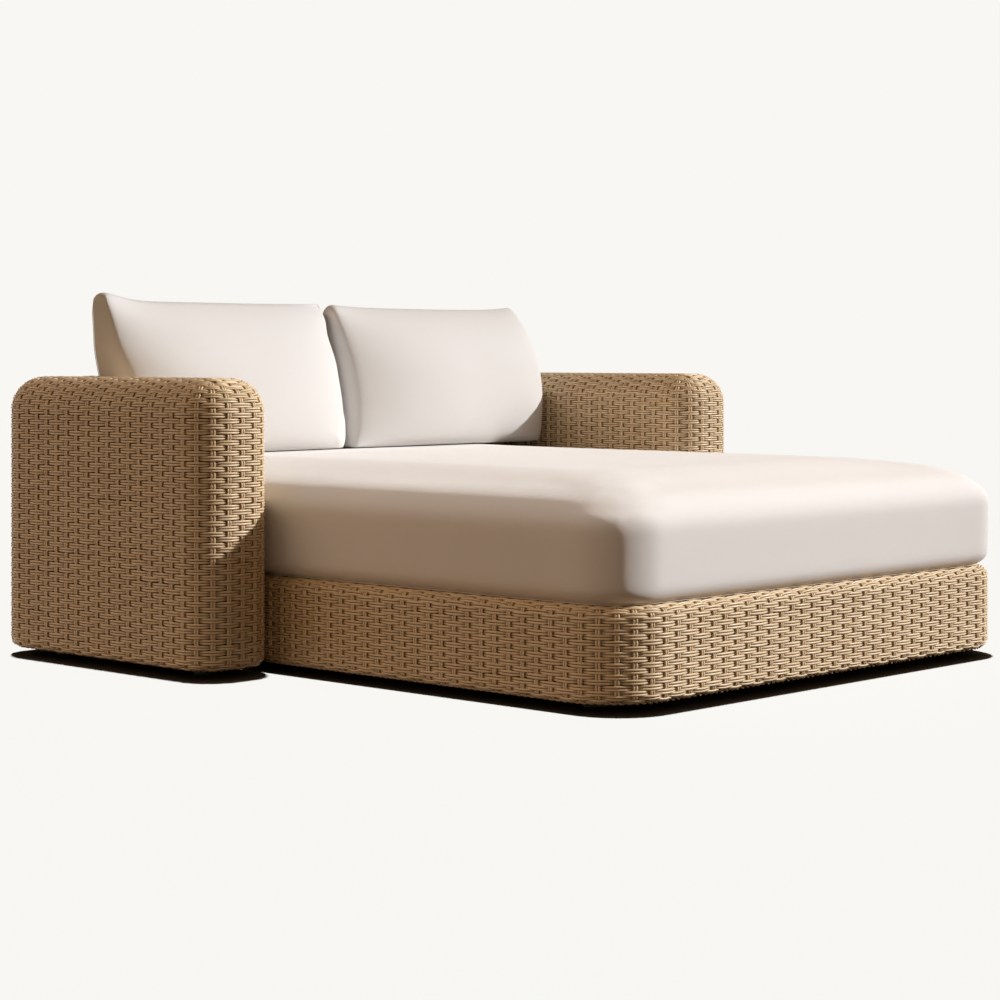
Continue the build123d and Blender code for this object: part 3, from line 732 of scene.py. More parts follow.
class OutlinePath(Walk):
    """A path of straights and quarter turns to the left, with its outside on the right."""

    def __init__(self, start: Pair, heading: float, steps: Sequence[tuple[str, float]]) -> None:
        """Walks the steps once and keeps where each begins.

        Args:
            start: Where the path begins.
            heading: Direction at the start, in radians from the first axis.
            steps: Pairs of "line" and a length, or "turn" and a radius.
        """
        self.parts, self.lengths = [], []
        here, angle, done = np.array(start, float), heading, 0.0
        for kind, size in steps:
            self.parts.append((kind, size, here.copy(), angle, done))
            self.lengths.append(size if kind == "line" else size * QUARTER)
            done += self.lengths[-1]
            if kind == "line":
                here = here + size * np.array([math.cos(angle), math.sin(angle)])
            else:
                centre = here + size * np.array([-math.sin(angle), math.cos(angle)])
                angle += QUARTER
                here = centre + size * np.array([math.sin(angle), -math.cos(angle)])
        self.length = done
        self.starts = np.array([part[4] for part in self.parts])

    def place(self, distance: Array) -> tuple[Array, Array]:
        """Points on the path and the directions out of it.

        Args:
            distance: Distances from the path's start.

        Returns:
            The points and the outward directions, one row each.
        """
        distance = np.clip(np.atleast_1d(np.asarray(distance, float)), 0.0, self.length)
        picked = self.pick(distance)
        points, outs = np.zeros((len(distance), 2)), np.zeros((len(distance), 2))
        for index, (kind, size, start, angle, begun) in enumerate(self.parts):
            chosen = picked == index
            run = distance[chosen] - begun
            if kind == "line":
                points[chosen] = start + run[:, None] * np.array([math.cos(angle), math.sin(angle)])
                outs[chosen] = (math.sin(angle), -math.cos(angle))
            else:
                turned = angle + run / size
                centre = start + size * np.array([-math.sin(angle), math.cos(angle)])
                outs[chosen] = np.stack([np.sin(turned), -np.cos(turned)], axis=1)
                points[chosen] = centre + size * outs[chosen]
        return points, outs


class RoundedPlan(Walk):
    """A rectangular plan with rounded corners, walked left about and drawn in by any inset."""

    NORMALS = np.array([(1.0, 0.0), (0.0, 1.0), (-1.0, 0.0), (0.0, -1.0)])
    LEAST_RADIUS = 0.004
    turn_steps = 8
    longest_face = 0.12

    def __init__(self, low: Vector, high: Vector, radii: Sequence[float], first: int) -> None:
        """Measures the plan.

        Args:
            low: Lowest corner, of which X and Y count.
            high: Highest corner.
            radii: Corner radii: rear right, rear left, front left, front right.
            first: Side on whose middle the walk begins: 0 right, 1 rear, 2 left, 3 front.
        """
        self.centre = (np.array(low.xy) + np.array(high.xy)) / 2
        self.half = (np.array(high.xy) - np.array(low.xy)) / 2
        self.radii, self.parts, done = radii, [], 0.0
        for turn in range(5):
            side = (first + turn) % 4
            reach = self.half[1 - side % 2]
            low_end = 0.0 if turn == 0 else -(reach - radii[side - 1])
            high_end = 0.0 if turn == 4 else reach - radii[side]
            self.parts.append(("line", side, low_end, done))
            done += high_end - low_end
            if turn < 4:
                self.parts.append(("turn", side, radii[side], done))
                done += radii[side] * QUARTER
        self.length = done
        self.starts = np.array([part[3] for part in self.parts])
        self.lengths = np.diff([*self.starts, done])

    def place(self, distance: Array, inset: Array) -> tuple[Array, Array, Array]:
        """Points on the plan, drawn in by an inset.

        Args:
            distance: Distances along the outer outline.
            inset: How far each point is drawn in.

        Returns:
            The points, the outward directions, and which points lie short of the mitres.
        """
        distance, inset = np.broadcast_arrays(np.atleast_1d(distance), np.atleast_1d(inset))
        picked = self.pick(distance)
        points, outs = np.zeros((len(distance), 2)), np.zeros((len(distance), 2))
        clear = np.ones(len(distance), bool)
        for index, (kind, side, value, begun) in enumerate(self.parts):
            chosen = picked == index
            if not chosen.any():
                continue
            normal, tangent = self.NORMALS[side], self.NORMALS[(side + 1) % 4]
            out_half, run_half = self.half[side % 2], self.half[1 - side % 2]
            run, depth = distance[chosen] - begun, inset[chosen]
            if kind == "line":
                across = value + run
                low = -(run_half - np.maximum(self.radii[side - 1], depth))
                high = run_half - np.maximum(self.radii[side], depth)
                clear[chosen] = (across >= low - TINY) & (across <= high + TINY)
                across = np.clip(across, np.minimum(low, 0), np.maximum(high, 0))[:, None]
                points[chosen] = self.centre + (out_half - depth)[:, None] * normal + across * tangent
                outs[chosen] = normal
            else:
                held, radius = np.maximum(value, depth)[:, None], np.maximum(value - depth, 0.0)
                angle = (run / value)[:, None]
                outs[chosen] = np.cos(angle) * normal + np.sin(angle) * tangent
                corner = self.centre + (out_half - held) * normal + (run_half - held) * tangent
                points[chosen] = corner + radius[:, None] * outs[chosen]
                clear[chosen] = radius > self.LEAST_RADIUS
        return points, outs, clear


def grid_shell(name: str, outer: Array, inner: Array) -> Object:
    """A thin closed shell between two matching grids of points, dark brown as painted shade behind the weave.

    Args:
        name: Name of the piece.
        outer: Grid of points, rows by columns by three, on the outside.
        inner: The matching grid on the inside.

    Returns:
        The finished piece.
    """
    rows, columns = outer.shape[:2]
    shape = bmesh.new()
    front, back = ([[shape.verts.new(point) for point in row] for row in grid] for grid in (outer, inner))
    for row in range(rows - 1):
        for column in range(columns - 1):
            corners = [(row, column), (row, column + 1), (row + 1, column + 1), (row + 1, column)]
            shape.faces.new([front[r][c] for r, c in corners])
            shape.faces.new([back[r][c] for r, c in reversed(corners)])
    for row in (0, rows - 1):
        for column in range(columns - 1):
            shape.faces.new([*front[row][column : column + 2], *reversed(back[row][column : column + 2])])
    bmesh.ops.remove_doubles(shape, verts=shape.verts, dist=1e-5)
    loose = [edge for edge in shape.edges if edge.is_boundary]
    if loose:
        bmesh.ops.holes_fill(shape, edges=loose, sides=0)
    return shaped(name, shape, SHADE_SHELL)


@dataclass
class WeaveRule:
    """Sizes of the woven pattern, in metres, and its shares of a pitch."""

    strand: float = 0.0055
    pair_gap: float = 0.0057
    depth: float = 0.0060
    weft_lift: float = 0.0033
    upright_lift: float = 0.0020
    sides: int = 6
    lining_depth: float = 0.0108
    lining_thickness: float = 0.0010
    twist_pitch: float = 0.036
    twist_steps: int = 8
    twist_rise: float = 0.0012
    twist_below: float = 0.95
    twist_tone: float = 0.7
    twist_crest: float = 0.3
    twist_spread: float = 0.95
    crown_keep: float = 0.045
    weft_shares: tuple[float, ...] = (0.14, 0.5, 0.86)
    upright_share: float = 0.27
    upright_crest: float = 0.9
    upright_spread: float = 0.04
    float_rise: float = 0.45
    under_share: float = 0.85
    float_spread: float = 0.09
    row_wander: float = 0.0004
    upright_wander: float = 0.0008

    def sizes(self, wave: Wave) -> dict[str, float | int]:
        """The loom's inputs for one set of strands.

        Args:
            wave: How the strands move.

        Returns:
            The inputs, by name.
        """
        lift = self.weft_lift if wave is Wave.WEFT else self.upright_lift
        thick = {"Strand Thickness": self.strand, "Sides": self.sides}
        return {"Pair Gap": self.pair_gap, "Lift Height": lift, **thick}

    def crests(self, places: Array, uprights: Array, signs: Array) -> Array:
        """How high a weft lies at each place, from -1 under to 1 over.

        Args:
            places: Distances along the row.
            uprights: Distances of the uprights it crosses, in order.
            signs: 1 where the weft goes over, -1 where it goes under.

        Returns:
            One value for each place.
        """
        picked = np.clip(np.searchsorted(uprights, places, "right") - 1, 0, len(uprights) - 2)
        share = np.clip((places - uprights[picked]) / (uprights[picked + 1] - uprights[picked]), 0, 1)
        flat = self.weft_shares[0]
        eased = np.clip((share - flat) / (1 - 2 * flat), 0, 1)
        eased = eased * eased * (3 - 2 * eased)
        heights = np.where(signs > 0, 1.0, -self.under_share)
        value = heights[picked] * (1 - eased) + heights[picked + 1] * eased
        dip = value * (1 - 0.5 * np.sin(np.pi * share))
        same = signs[picked] == signs[picked + 1]
        return np.where(same, dip, value + self.float_rise * 4 * eased * (1 - eased))


@dataclass
class DaybedSizes:
    """Sizes that the woven parts share, in metres."""

    base_corner: float = 0.150
    base_rear_corner: float = 0.013
    base_edge: float = 0.026
    bottom_edge: float = 0.024
    hem_inset: float = 0.047
    rim: float = 0.045
    arm_corner: float = 0.090
    arm_top: float = 0.080
    back_top: float = 0.048
    hidden_level: float = 0.196
    hidden_gap: float = 0.012
    hidden_behind: float = 0.02
    wedge_reach: float = 0.105
    arm_row_pitch: float = 0.0120
    base_row_pitch: float = 0.0113
    back_row_pitch: float = 0.0121
    upright_pitch: float = 0.0392

    @property
    def hem(self) -> float:
        """How far the weave lies flat under a part."""
        return self.hem_inset - self.bottom_edge

    def even_count(self, length: float) -> int:
        """The even number of uprights that suits a length."""
        return 2 * round(length / self.upright_pitch / 2)

    def skin(self, low: float, high: float, top: float, reach: float) -> OutlinePath:
        """The profile of a case from its hem, up its wall, to its top.

        Args:
            low: Height of the bottom edge.
            high: Height of the top.
            top: Radius of the top edge.
            reach: How far in the top goes.

        Returns:
            The profile, whose first axis points out of the case.
        """
        edge = self.bottom_edge
        wall = high - top - low - edge
        steps = [("line", self.hem), ("turn", edge), ("line", wall), ("turn", top), ("line", reach - top)]
        return OutlinePath((-self.hem_inset, low), 0.0, steps)


@dataclass
class Weave:
    """What the woven parts share: a dark shell of painted shade with level rows and standing pairs over it.
    """

    sizes: DaybedSizes
    loom: StrandLoom

    name = ""
    rule = WeaveRule()
    weft_words = ("low", "high")
    edge_word = "border"

    def hand(self, piece: Object) -> Object:
        """Hands over a piece of this part."""
        return hand_over(piece, "root", [f"{self.name}_weave"])

    def strands(self, word: str, guides: Guides, wave: Wave) -> Object:
        """Makes and hands over one set of strands."""
        return self.hand(self.loom.weave(guides, f"{self.name}_{word}", self.rule.sizes(wave)))

    def layers(self, along: Array, up: Array) -> list[Array]:
        """Grids of points on the dark shell's outside and inside.

        Args:
            along: Distances along the rows.
            up: Distances up the profile.

        Returns:
            The two grids.
        """
        outside = self.rule.lining_depth
        both = (outside, outside + self.rule.lining_thickness)
        return [np.array([self.surface(along, level, depth)[0] for level in up]) for depth in both]

    def lay_row(self, guides: Guides, places: Array, crests: Array, level: float | Array) -> None:
        """Adds the lines of one level row.

        Args:
            guides: The lines that it joins.
            places: Distances along the row.
            crests: How high the row lies at each place.
            level: Distance up the profile.
        """
        points, out, rise, _, _ = self.surface(places, level, self.rule.depth)
        spread = 1 + self.rule.float_spread * crests
        tone = float(self.random.uniform(0, 1))
        laid = {"points": points, "out": out, "side": rise, "crest": crests, "spread": spread}
        guides.add(self.shown(points), tone, **laid)

    def upright_guides(self) -> Guides:
        """Lines of the standing pairs.

        Returns:
            The guide lines.
        """
        guides, rule = Guides(), self.rule
        beside = self.row_pitch * np.array([-rule.upright_share, rule.upright_share])
        levels = (self.rows[:, None] + beside).ravel()
        present = np.array([self.standing(row) for row in self.rows])
        for index, place in enumerate(self.uprights):
            signs = np.where((index + np.arange(len(self.rows))) % 2 == 0, -1.0, 1.0)
            crests = np.repeat(signs, 2) * rule.upright_crest
            points, out, _, turn, _ = self.surface(place, levels, rule.depth)
            seen = self.shown(points) & np.repeat(present[:, index], 2)
            spread = 1 + rule.upright_spread * crests
            tone = float(self.random.uniform(0, 1))
            guides.add(seen, tone, points=points, out=out, side=turn, crest=crests, spread=spread)
        return guides

    def build(self) -> list[Object]:
        """Makes and hands over every piece of this part.

        Returns:
            The pieces.
        """
        pieces = [self.hand(self.lining())]
        groups = np.array_split(np.arange(len(self.rows)), len(self.weft_words))
        for word, numbers in zip(self.weft_words, groups):
            pieces.append(self.strands(f"wefts_{word}", self.weft_guides(numbers), Wave.WEFT))
        pieces.append(self.strands("uprights", self.upright_guides(), Wave.UPRIGHT))
        pieces.append(self.strands(self.edge_word, self.edge_guides(), Wave.UPRIGHT))
        return pieces


class WovenCase(Weave):
    """A case of paired strands round a rounded plan."""

    LONG_CROWN = 0.06
    LEAST_DROPPED = 4
    mirror_x: float | None = None

    def set_out(self, plan: RoundedPlan, profile: OutlinePath, row_pitch: float, seed: int) -> None:
        """Works out where the rows and the uprights are.

        Args:
            plan: The outline from above.
            profile: The outline of a cut, from the hem to the top.
            row_pitch: Distance between rows.
            seed: Start of the random draws.
        """
        self.plan, self.profile, self.row_pitch = plan, profile, row_pitch
        self.random = np.random.default_rng(seed)
        wander, count = self.rule.row_wander, int((profile.length - self.sizes.hem) / row_pitch)
        self.rows = profile.length - row_pitch / 2 - row_pitch * np.arange(count)[::-1]
        self.rows = self.rows + self.random.uniform(-wander, wander, count)
        wander, count = self.rule.upright_wander, self.sizes.even_count(plan.length)
        self.uprights = plan.length * np.arange(count) / count
        self.uprights[1:] += self.random.uniform(-wander, wander, count - 1)
        self.dropped = self._middle_of_corners()

    def _middle_of_corners(self) -> Array:
        """Which uprights end early because a corner narrows over the top.

        Returns:
            True for each upright that does.
        """
        dropped = np.zeros(len(self.uprights), bool)
        for kind, _, radius, begun in self.plan.parts:
            if kind == "turn" and radius - self.rule.crown_keep < self.LONG_CROWN:
                after, before = self.uprights > begun, self.uprights < begun + radius * QUARTER
                inside = np.flatnonzero(after & before)
                if len(inside) >= self.LEAST_DROPPED:
                    dropped[inside[1:-1]] = True
        return dropped

    def surface(self, around: float | Array, up: float | Array, depth: float) -> tuple[Array, ...]:
        """Points of the case below its outer surface, and its directions there.

        Args:
            around: Distances round the plan.
            up: Distances up the profile.
            depth: How far below the outer surface.

        Returns:
            Points, outward directions, directions up, directions round, and which lie short of the mitres.
        """
        around, up = np.broadcast_arrays(np.atleast_1d(around), np.atleast_1d(up))
        section, section_out = self.profile.place(up)
        flat, flat_out, clear = self.plan.place(around, -section[:, 0])
        out = np.column_stack([flat_out * section_out[:, :1], section_out[:, 1]])
        rise = np.column_stack([-flat_out * section_out[:, 1:], section_out[:, 0]])
        turn = np.column_stack([-flat_out[:, 1], flat_out[:, 0], np.zeros(len(flat))])
        points = np.column_stack([flat, section[:, 1]]) - depth * out
        if self.mirror_x is not None:
            points[:, 0] = 2 * self.mirror_x - points[:, 0]
            for vectors in (out, rise, turn):
                vectors[:, 0] *= -1
        return points, out, rise, turn, clear

    def standing(self, row: float) -> Array:
        """Which uprights reach a row.

        Args:
            row: The row's distance up the profile.

        Returns:
            True for each upright that is there.
        """
        inset = -self.profile.place(row)[0][0, 0]
        clear = self.plan.place(self.uprights, inset)[2]
        on_top = row > self.profile.length / 2 and inset > self.rule.crown_keep
        return clear & ~(self.dropped & on_top)

    def weft_guides(self, numbers: Sequence[int]) -> Guides:
        """Lines of the level rows.

        Args:
            numbers: Which rows to lay.

        Returns:
            The guide lines.
        """
        guides, length = Guides(), self.plan.length
        gaps = np.append(self.uprights[1:], length) - self.uprights
        places = (self.uprights[:, None] + gaps[:, None] * np.array(self.rule.weft_shares)).ravel()
        places = np.concatenate([[0.0], places, [length]])
        for number in numbers:
            here = np.flatnonzero(self.standing(self.rows[number]))
            if len(here) < 2:
                continue
            signs = np.where((here + number) % 2 == 0, 1.0, -1.0)
            posts = self.uprights[here]
            posts = np.concatenate([[posts[-1] - length], posts, [posts[0] + length]])
            signs = np.concatenate([[signs[-1]], signs, [signs[0]]])
            waves, start = self.random.integers(3, 9), self.random.uniform(0, 6.3)
            wander = self.rule.row_wander * np.sin(places / length * 2 * math.pi * waves + start)
            self.lay_row(guides, places, self.rule.crests(places, posts, signs), self.rows[number] + wander)
        return guides

    def edge_guides(self) -> Guides:
        """The twisted pair that closes the weave along the bottom edge.

        Returns:
            The guide lines.
        """
        guides, rule, length = Guides(), self.rule, self.plan.length
        places = np.linspace(0, length, int(length / rule.twist_pitch) * rule.twist_steps + 1)
        level = self.rows[0] - self.row_pitch * rule.twist_below
        points, out, rise, _, _ = self.surface(places, level, rule.depth - rule.twist_rise)
        turned = (places / rule.twist_pitch * 2 * math.pi)[:, None]
        side = np.cos(turned) * rise + np.sin(turned) * out
        crest, spread = (np.full(len(places), value) for value in (rule.twist_crest, rule.twist_spread))
        laid = {"points": points, "out": out, "side": side, "crest": crest, "spread": spread}
        guides.add(self.shown(points), rule.twist_tone, **laid)
        return guides

    def lining(self) -> Object:
        """The dark shell behind the strands, painted shade for the gaps."""
        layers = self.layers(self.plan.stations(), self.profile.stations())
        return grid_shell(f"{self.name}_lining", *layers)


@dataclass
class ArmCase(WovenCase):
    """One woven arm."""

    side: Side
    seed: int = 11

    def __post_init__(self) -> None:
        """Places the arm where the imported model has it."""
        self.name, sizes = f"{self.side.word}_arm", self.sizes
        self.low, self.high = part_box(f"{self.name}_weave")
        half = (self.high.x - self.low.x) / 2
        self.inner = self.low.x
        if self.side is Side.LEFT:
            self.inner = self.high.x
        else:
            self.mirror_x = (self.low.x + self.high.x) / 2
        self.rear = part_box("base_weave")[1].y + sizes.hidden_behind
        plan = RoundedPlan(self.low, self.high, [sizes.arm_corner] * 4, 0)
        profile = sizes.skin(self.low.z, self.high.z, sizes.arm_top, half)
        self.set_out(plan, profile, sizes.arm_row_pitch, self.seed + self.side.value)

    def shown(self, points: Array) -> Array:
        """Which places aren't shut in between the arm and the platform.

        Args:
            points: The places.

        Returns:
            True for each that is seen.
        """
        near = np.abs(points[:, 0] - self.inner) < self.sizes.hidden_gap
        low = points[:, 2] < self.sizes.hidden_level
        beside = (points[:, 1] > self.low.y + self.sizes.wedge_reach) & (points[:, 1] < self.rear)
        return ~(near & low & beside)


@dataclass
class BaseCase(WovenCase):
    """The woven platform."""

    seed: int = 21

    name = "base"
    weft_words = ("all",)

    def __post_init__(self) -> None:
        """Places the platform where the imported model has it."""
        low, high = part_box("base_weave")
        sizes = self.sizes
        radii = [sizes.base_rear_corner] * 2 + [sizes.base_corner] * 2
        profile = sizes.skin(low.z, high.z, sizes.base_edge, sizes.rim)
        self.open_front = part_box("left_arm_weave")[0].y + sizes.wedge_reach
        self.set_out(RoundedPlan(low, high, radii, 1), profile, sizes.base_row_pitch, self.seed)

    def shown(self, points: Array) -> Array:
        """Which places aren't shut in beside the arms or before the back."""
        return (points[:, 2] > self.sizes.hidden_level) | (points[:, 1] < self.open_front)


@dataclass
class BackCase(Weave):
    """The woven back: rows run from arm to arm, over the top and down behind."""

    seed: int = 31
    last_gap: float = 0.006
    row_end: float = 0.004
    lining_end: float = 0.0085
    cap_rows: int = 4
    cap_depth: float = 0.006
    cap_end: float = 0.0035
    cap_start: float = 0.01
    cap_stop: float = 0.02
    cap_points: int = 220
    cap_crest: float = 0.1

    name = "back"
    rule = WeaveRule(sides=5)
    weft_words = ("front", "rear")
    edge_word = "end_rows"

    def __post_init__(self) -> None:
        """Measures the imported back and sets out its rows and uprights."""
        self.low, self.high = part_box("back_weave")
        sizes, top, edge = self.sizes, self.sizes.back_top, self.sizes.bottom_edge
        wall = self.high.z - top - self.low.z
        thickness, width = self.high.y - self.low.y, self.high.x - self.low.x
        steps = [("line", wall), ("turn", top), ("line", thickness - 2 * top), ("turn", top)]
        steps += [("line", wall - edge), ("turn", edge), ("line", sizes.hem)]
        self.profile = OutlinePath((-self.low.y, self.low.z), QUARTER, steps)
        self.random = np.random.default_rng(self.seed)
        first, last = sizes.hidden_level - self.low.z, self.profile.length - sizes.hem - self.last_gap
        self.rows = np.linspace(first, last, round((last - first) / sizes.back_row_pitch) + 1)
        self.row_pitch = self.rows[1] - self.rows[0]
        count = round(width / sizes.upright_pitch)
        self.uprights = self.low.x + width / count * (np.arange(count) + 0.5)

    def surface(self, across: float | Array, up: float | Array, depth: float) -> tuple[Array, ...]:
        """Points of the back below its outer surface, and its directions there.

        Args:
            across: X of each point.
            up: Distances along the profile, from the front's bottom edge.
            depth: How far below the outer surface.

        Returns:
            Points, outward directions, directions along the profile and across, and True for all.
        """
        across, up = np.broadcast_arrays(np.atleast_1d(across), np.atleast_1d(up))
        section, section_out = self.profile.place(up)
        none, whole = np.zeros(len(up)), np.ones(len(up))
        out = np.column_stack([none, -section_out[:, 0], section_out[:, 1]])
        rise = np.column_stack([none, section_out[:, 1], section_out[:, 0]])
        points = np.column_stack([across, -section[:, 0], section[:, 1]]) - depth * out
        return points, out, rise, np.column_stack([whole, none, none]), whole > 0

    def shown(self, points: Array) -> Array:
        """True for every place, as nothing covers the laid rows."""
        return np.ones(len(points), bool)

    def standing(self, row: float) -> Array:
        """True for every upright, whichever the row."""
        return np.ones(len(self.uprights), bool)

    def weft_guides(self, numbers: Sequence[int]) -> Guides:
        """Lines of the level rows.

        Args:
            numbers: Which rows to lay.

        Returns:
            The guide lines.
        """
        guides, uprights = Guides(), self.uprights
        pitch = uprights[1] - uprights[0]
        places = (uprights[:-1, None] + pitch * np.array(self.rule.weft_shares)).ravel()
        start, stop = self.low.x + self.row_end, self.high.x - self.row_end
        places = np.concatenate([[start, uprights[0]], places, [uprights[-1], stop]])
        posts = np.concatenate([[uprights[0] - pitch], uprights, [uprights[-1] + pitch]])
        for number in numbers:
            signs = np.where((np.arange(-1, len(uprights) + 1) + number) % 2 == 0, 1.0, -1.0)
            self.lay_row(guides, places, self.rule.crests(places, posts, signs), self.rows[number])
        return guides

    def edge_guides(self) -> Guides:
        """Rows that follow the outline of each end, one inside the other.

        Returns:
            The guide lines.
        """
        guides = Guides()
        last = self.profile.length - self.sizes.hem - self.cap_stop
        places, whole = np.linspace(self.cap_start, last, self.cap_points), np.ones(self.cap_points)
        for end, reach in ((-1, self.low.x), (1, self.high.x)):
            for number in range(self.cap_rows):
                depth = self.cap_depth + self.row_pitch * number
                points, out, _, across, _ = self.surface(reach - end * self.cap_end, places, depth)
                laid = {"points": points, "out": across * end, "side": out}
                laid |= {"crest": whole * self.cap_crest, "spread": whole}
                guides.add(whole > 0, float(self.random.uniform(0, 1)), **laid)
        return guides

    def lining(self) -> Object:
        """The dark shell behind the strands, painted shade for the gaps, closed at both ends.

        Returns:
            The lining.
        """
        up, thick = self.profile.stations(), self.rule.lining_thickness
        first, last = self.low.x + self.lining_end, self.high.x - self.lining_end
        piece = grid_shell("back_lining", *self.layers(np.array([first, 0.0, last]), up))
        shape = bmesh.new()
        shape.from_mesh(piece.data)
        for place in (first, last - thick):
            ring = self.surface(place, up, self.rule.lining_depth)[0]
            plate = shape.faces.new([shape.verts.new(point) for point in ring])
            pushed = bmesh.ops.extrude_face_region(shape, geom=[plate])["geom"]
            moved = [part for part in pushed if isinstance(part, bmesh.types.BMVert)]
            bmesh.ops.translate(shape, verts=moved, vec=(thick, 0, 0))
        bmesh.ops.recalc_face_normals(shape, faces=shape.faces)
        shape.to_mesh(piece.data)
        shape.free()
        return piece


def eased_curve(stations: Sequence[float], values: Sequence[float]) -> Callable[[Array], Array]:
    """A smooth curve through given values, without overshoot.

    Args:
        stations: Where the values hold, rising.
        values: The values.

    Returns:
        A function that gives the value anywhere between the stations.
    """
    xs, ys = np.array(stations, float), np.array(values, float)
    slopes = np.diff(ys) / np.diff(xs)
    ends = np.concatenate([[slopes[0]], np.zeros(len(xs) - 2), [slopes[-1]]])
    same = slopes[:-1] * slopes[1:] > 0
    sums = np.where(same, slopes[:-1] + slopes[1:], 1)
    ends[1:-1] = np.where(same, 2 * slopes[:-1] * slopes[1:] / sums, 0)

    def read(where: Array) -> Array:
        """The curve's value at each place.

        Args:
            where: The places.

        Returns:
            The values.
        """
        where = np.clip(where, xs[0], xs[-1])
        index = np.clip(np.searchsorted(xs, where, "right") - 1, 0, len(xs) - 2)
        width = xs[index + 1] - xs[index]
        t = (where - xs[index]) / width
        h00, h10 = 2 * t**3 - 3 * t**2 + 1, t**3 - 2 * t**2 + t
        h01, h11 = -2 * t**3 + 3 * t**2, t**3 - t**2
        before = h00 * ys[index] + h10 * width * ends[index]
        return before + h01 * ys[index + 1] + h11 * width * ends[index + 1]

    return read


@dataclass
class StuffedCover:
    """A cover of six sewn panels over a form, which its filling can blow up."""

    name: str
    cells: tuple[int, int, int]
    size: Vector
    form: Form
    finish: Finish

    PANELS = ((0, 2, 1, 1), (0, 2, 1, 0), (1, 2, 0, 0), (1, 2, 0, 1), (0, 1, 2, 0), (0, 1, 2, 1))
    CLOTH_SETTINGS = {
        "vertex_group_mass": "held", "quality": 5, "mass": 0.25, "tension_stiffness": 12.0,
        "compression_stiffness": 12.0, "shear_stiffness": 4.0, "bending_stiffness": 0.6,
        "use_pressure": True,
    }
    MARGIN = 0.01
    LEAST_SLACK = 0.02

    def sew(self) -> Array:
        """Joins the panels over the form, each with its place on two maps.

        Returns:
            The grid place of each point, from 0 to 1.
        """
        known: dict[tuple[int, ...], int] = {}
        faces, true, laid = [], [], []
        for number, (first, second, fixed, end) in enumerate(self.PANELS):
            column, line = number % 2, number // 2
            order = -1 if (end == 1) == (fixed == 1) else 1
            for i, j in np.ndindex(self.cells[first], self.cells[second]):
                corners = []
                for di, dj in ((0, 0), (1, 0), (1, 1), (0, 1)):
                    spot = [0, 0, 0]
                    spot[first], spot[second], spot[fixed] = i + di, j + dj, end * self.cells[fixed]
                    corners.append((known.setdefault(tuple(spot), len(known)), i + di, j + dj))
                faces.append([corner for corner, _, _ in corners[::order]])
                for _, across, up in corners[::order]:
                    u, v = across / self.cells[first], up / self.cells[second]
                    true += [u * self.size[first], v * self.size[second]]
                    laid += [(column + self.MARGIN + (1 - 2 * self.MARGIN) * u) / 2]
                    laid += [(line + self.MARGIN + (1 - 2 * self.MARGIN) * v) / 3]
        places = np.array(list(known), float) / np.array(self.cells)
        mesh = bpy.data.meshes.new(self.name)
        mesh.from_pydata(self.form(*places.T).tolist(), [], faces)
        for label, flat in (("Panel", true), ("OFBake", laid)):
            mesh.uv_layers.new(name=label)
            mesh.uv_layers[label].data.foreach_set("uv", flat)
        self.made = new_object(self.name, mesh)
        return places

    def settled_points(self) -> Array:
        """Where the cover's points are with its modifiers."""
        return read_points(self.made.evaluated_get(bpy.context.evaluated_depsgraph_get()).data)

    def stuff(self, held: Array, pressure: float, cap: float, frames: int,
              room: tuple[Vector, Vector]) -> None:
        """Blows the cover up with a cloth simulation and keeps the result.

        Args:
            held: How firmly each point is held, from 0 to 1.
            pressure: Pressure of the filling.
            cap: How far a point may move, in metres.
            frames: Frames to run.
            room: Lowest and highest corner that the cover may reach.
        """
        made, scene = self.made, bpy.context.scene
        weigh(made, "held", held)
        cloth = made.modifiers.new("stuffing", "CLOTH")
        for label, value in {**self.CLOTH_SETTINGS, "uniform_pressure_force": pressure}.items():
            setattr(cloth.settings, label, value)
        cloth.settings.effector_weights.gravity = 0.0
        cloth.collision_settings.use_collision = False
        cloth.point_cache.frame_start, cloth.point_cache.frame_end = 1, frames
        for frame in range(1, frames + 1):
            scene.frame_set(frame)
        before = read_points(made.data)
        moved = self.settled_points() - before
        length = np.linalg.norm(moved, axis=1)
        moved *= (cap * np.tanh(length / cap) / np.maximum(length, LEAST))[:, None]
        made.modifiers.remove(cloth)
        made.vertex_groups.clear()
        write_points(made.data, np.clip(before + moved, room[0], room[1]))
        scene.frame_set(1)
        LOG.info("%s: stuffed, moved up to %.1f mm", made.name, 1000 * np.linalg.norm(moved, axis=1).max())

    def relax(self, weight: Array, rounds: int) -> None:
        """Smooths the cover where its cloth is slack.

        Args:
            weight: From 0 to 1 for each point, how much it may move.
            rounds: How often it smooths.
        """
        made = self.made
        weigh(made, "slack", weight, self.LEAST_SLACK)
        smooth = made.modifiers.new("relaxing", "SMOOTH")
        smooth.factor, smooth.iterations, smooth.vertex_group = 0.5, rounds, "slack"
        points = self.settled_points()
        made.modifiers.remove(smooth)
        made.vertex_groups.clear()
        write_points(made.data, points)

    def close(self) -> Object:
        """Rounds the cover off with a subdivision and smooth shading.

        Returns:
            The finished piece, at the origin.
        """
        rounded = self.made.modifiers.new("rounding", "SUBSURF")
        rounded.levels = rounded.render_levels = 1
        rounded.uv_smooth = "NONE"
        mesh = settled_mesh(self.made, self.name)
        mesh.polygons.foreach_set("use_smooth", [True] * len(mesh.polygons))
        mesh.materials.append(self.finish.material())
        return new_object(self.name, mesh)


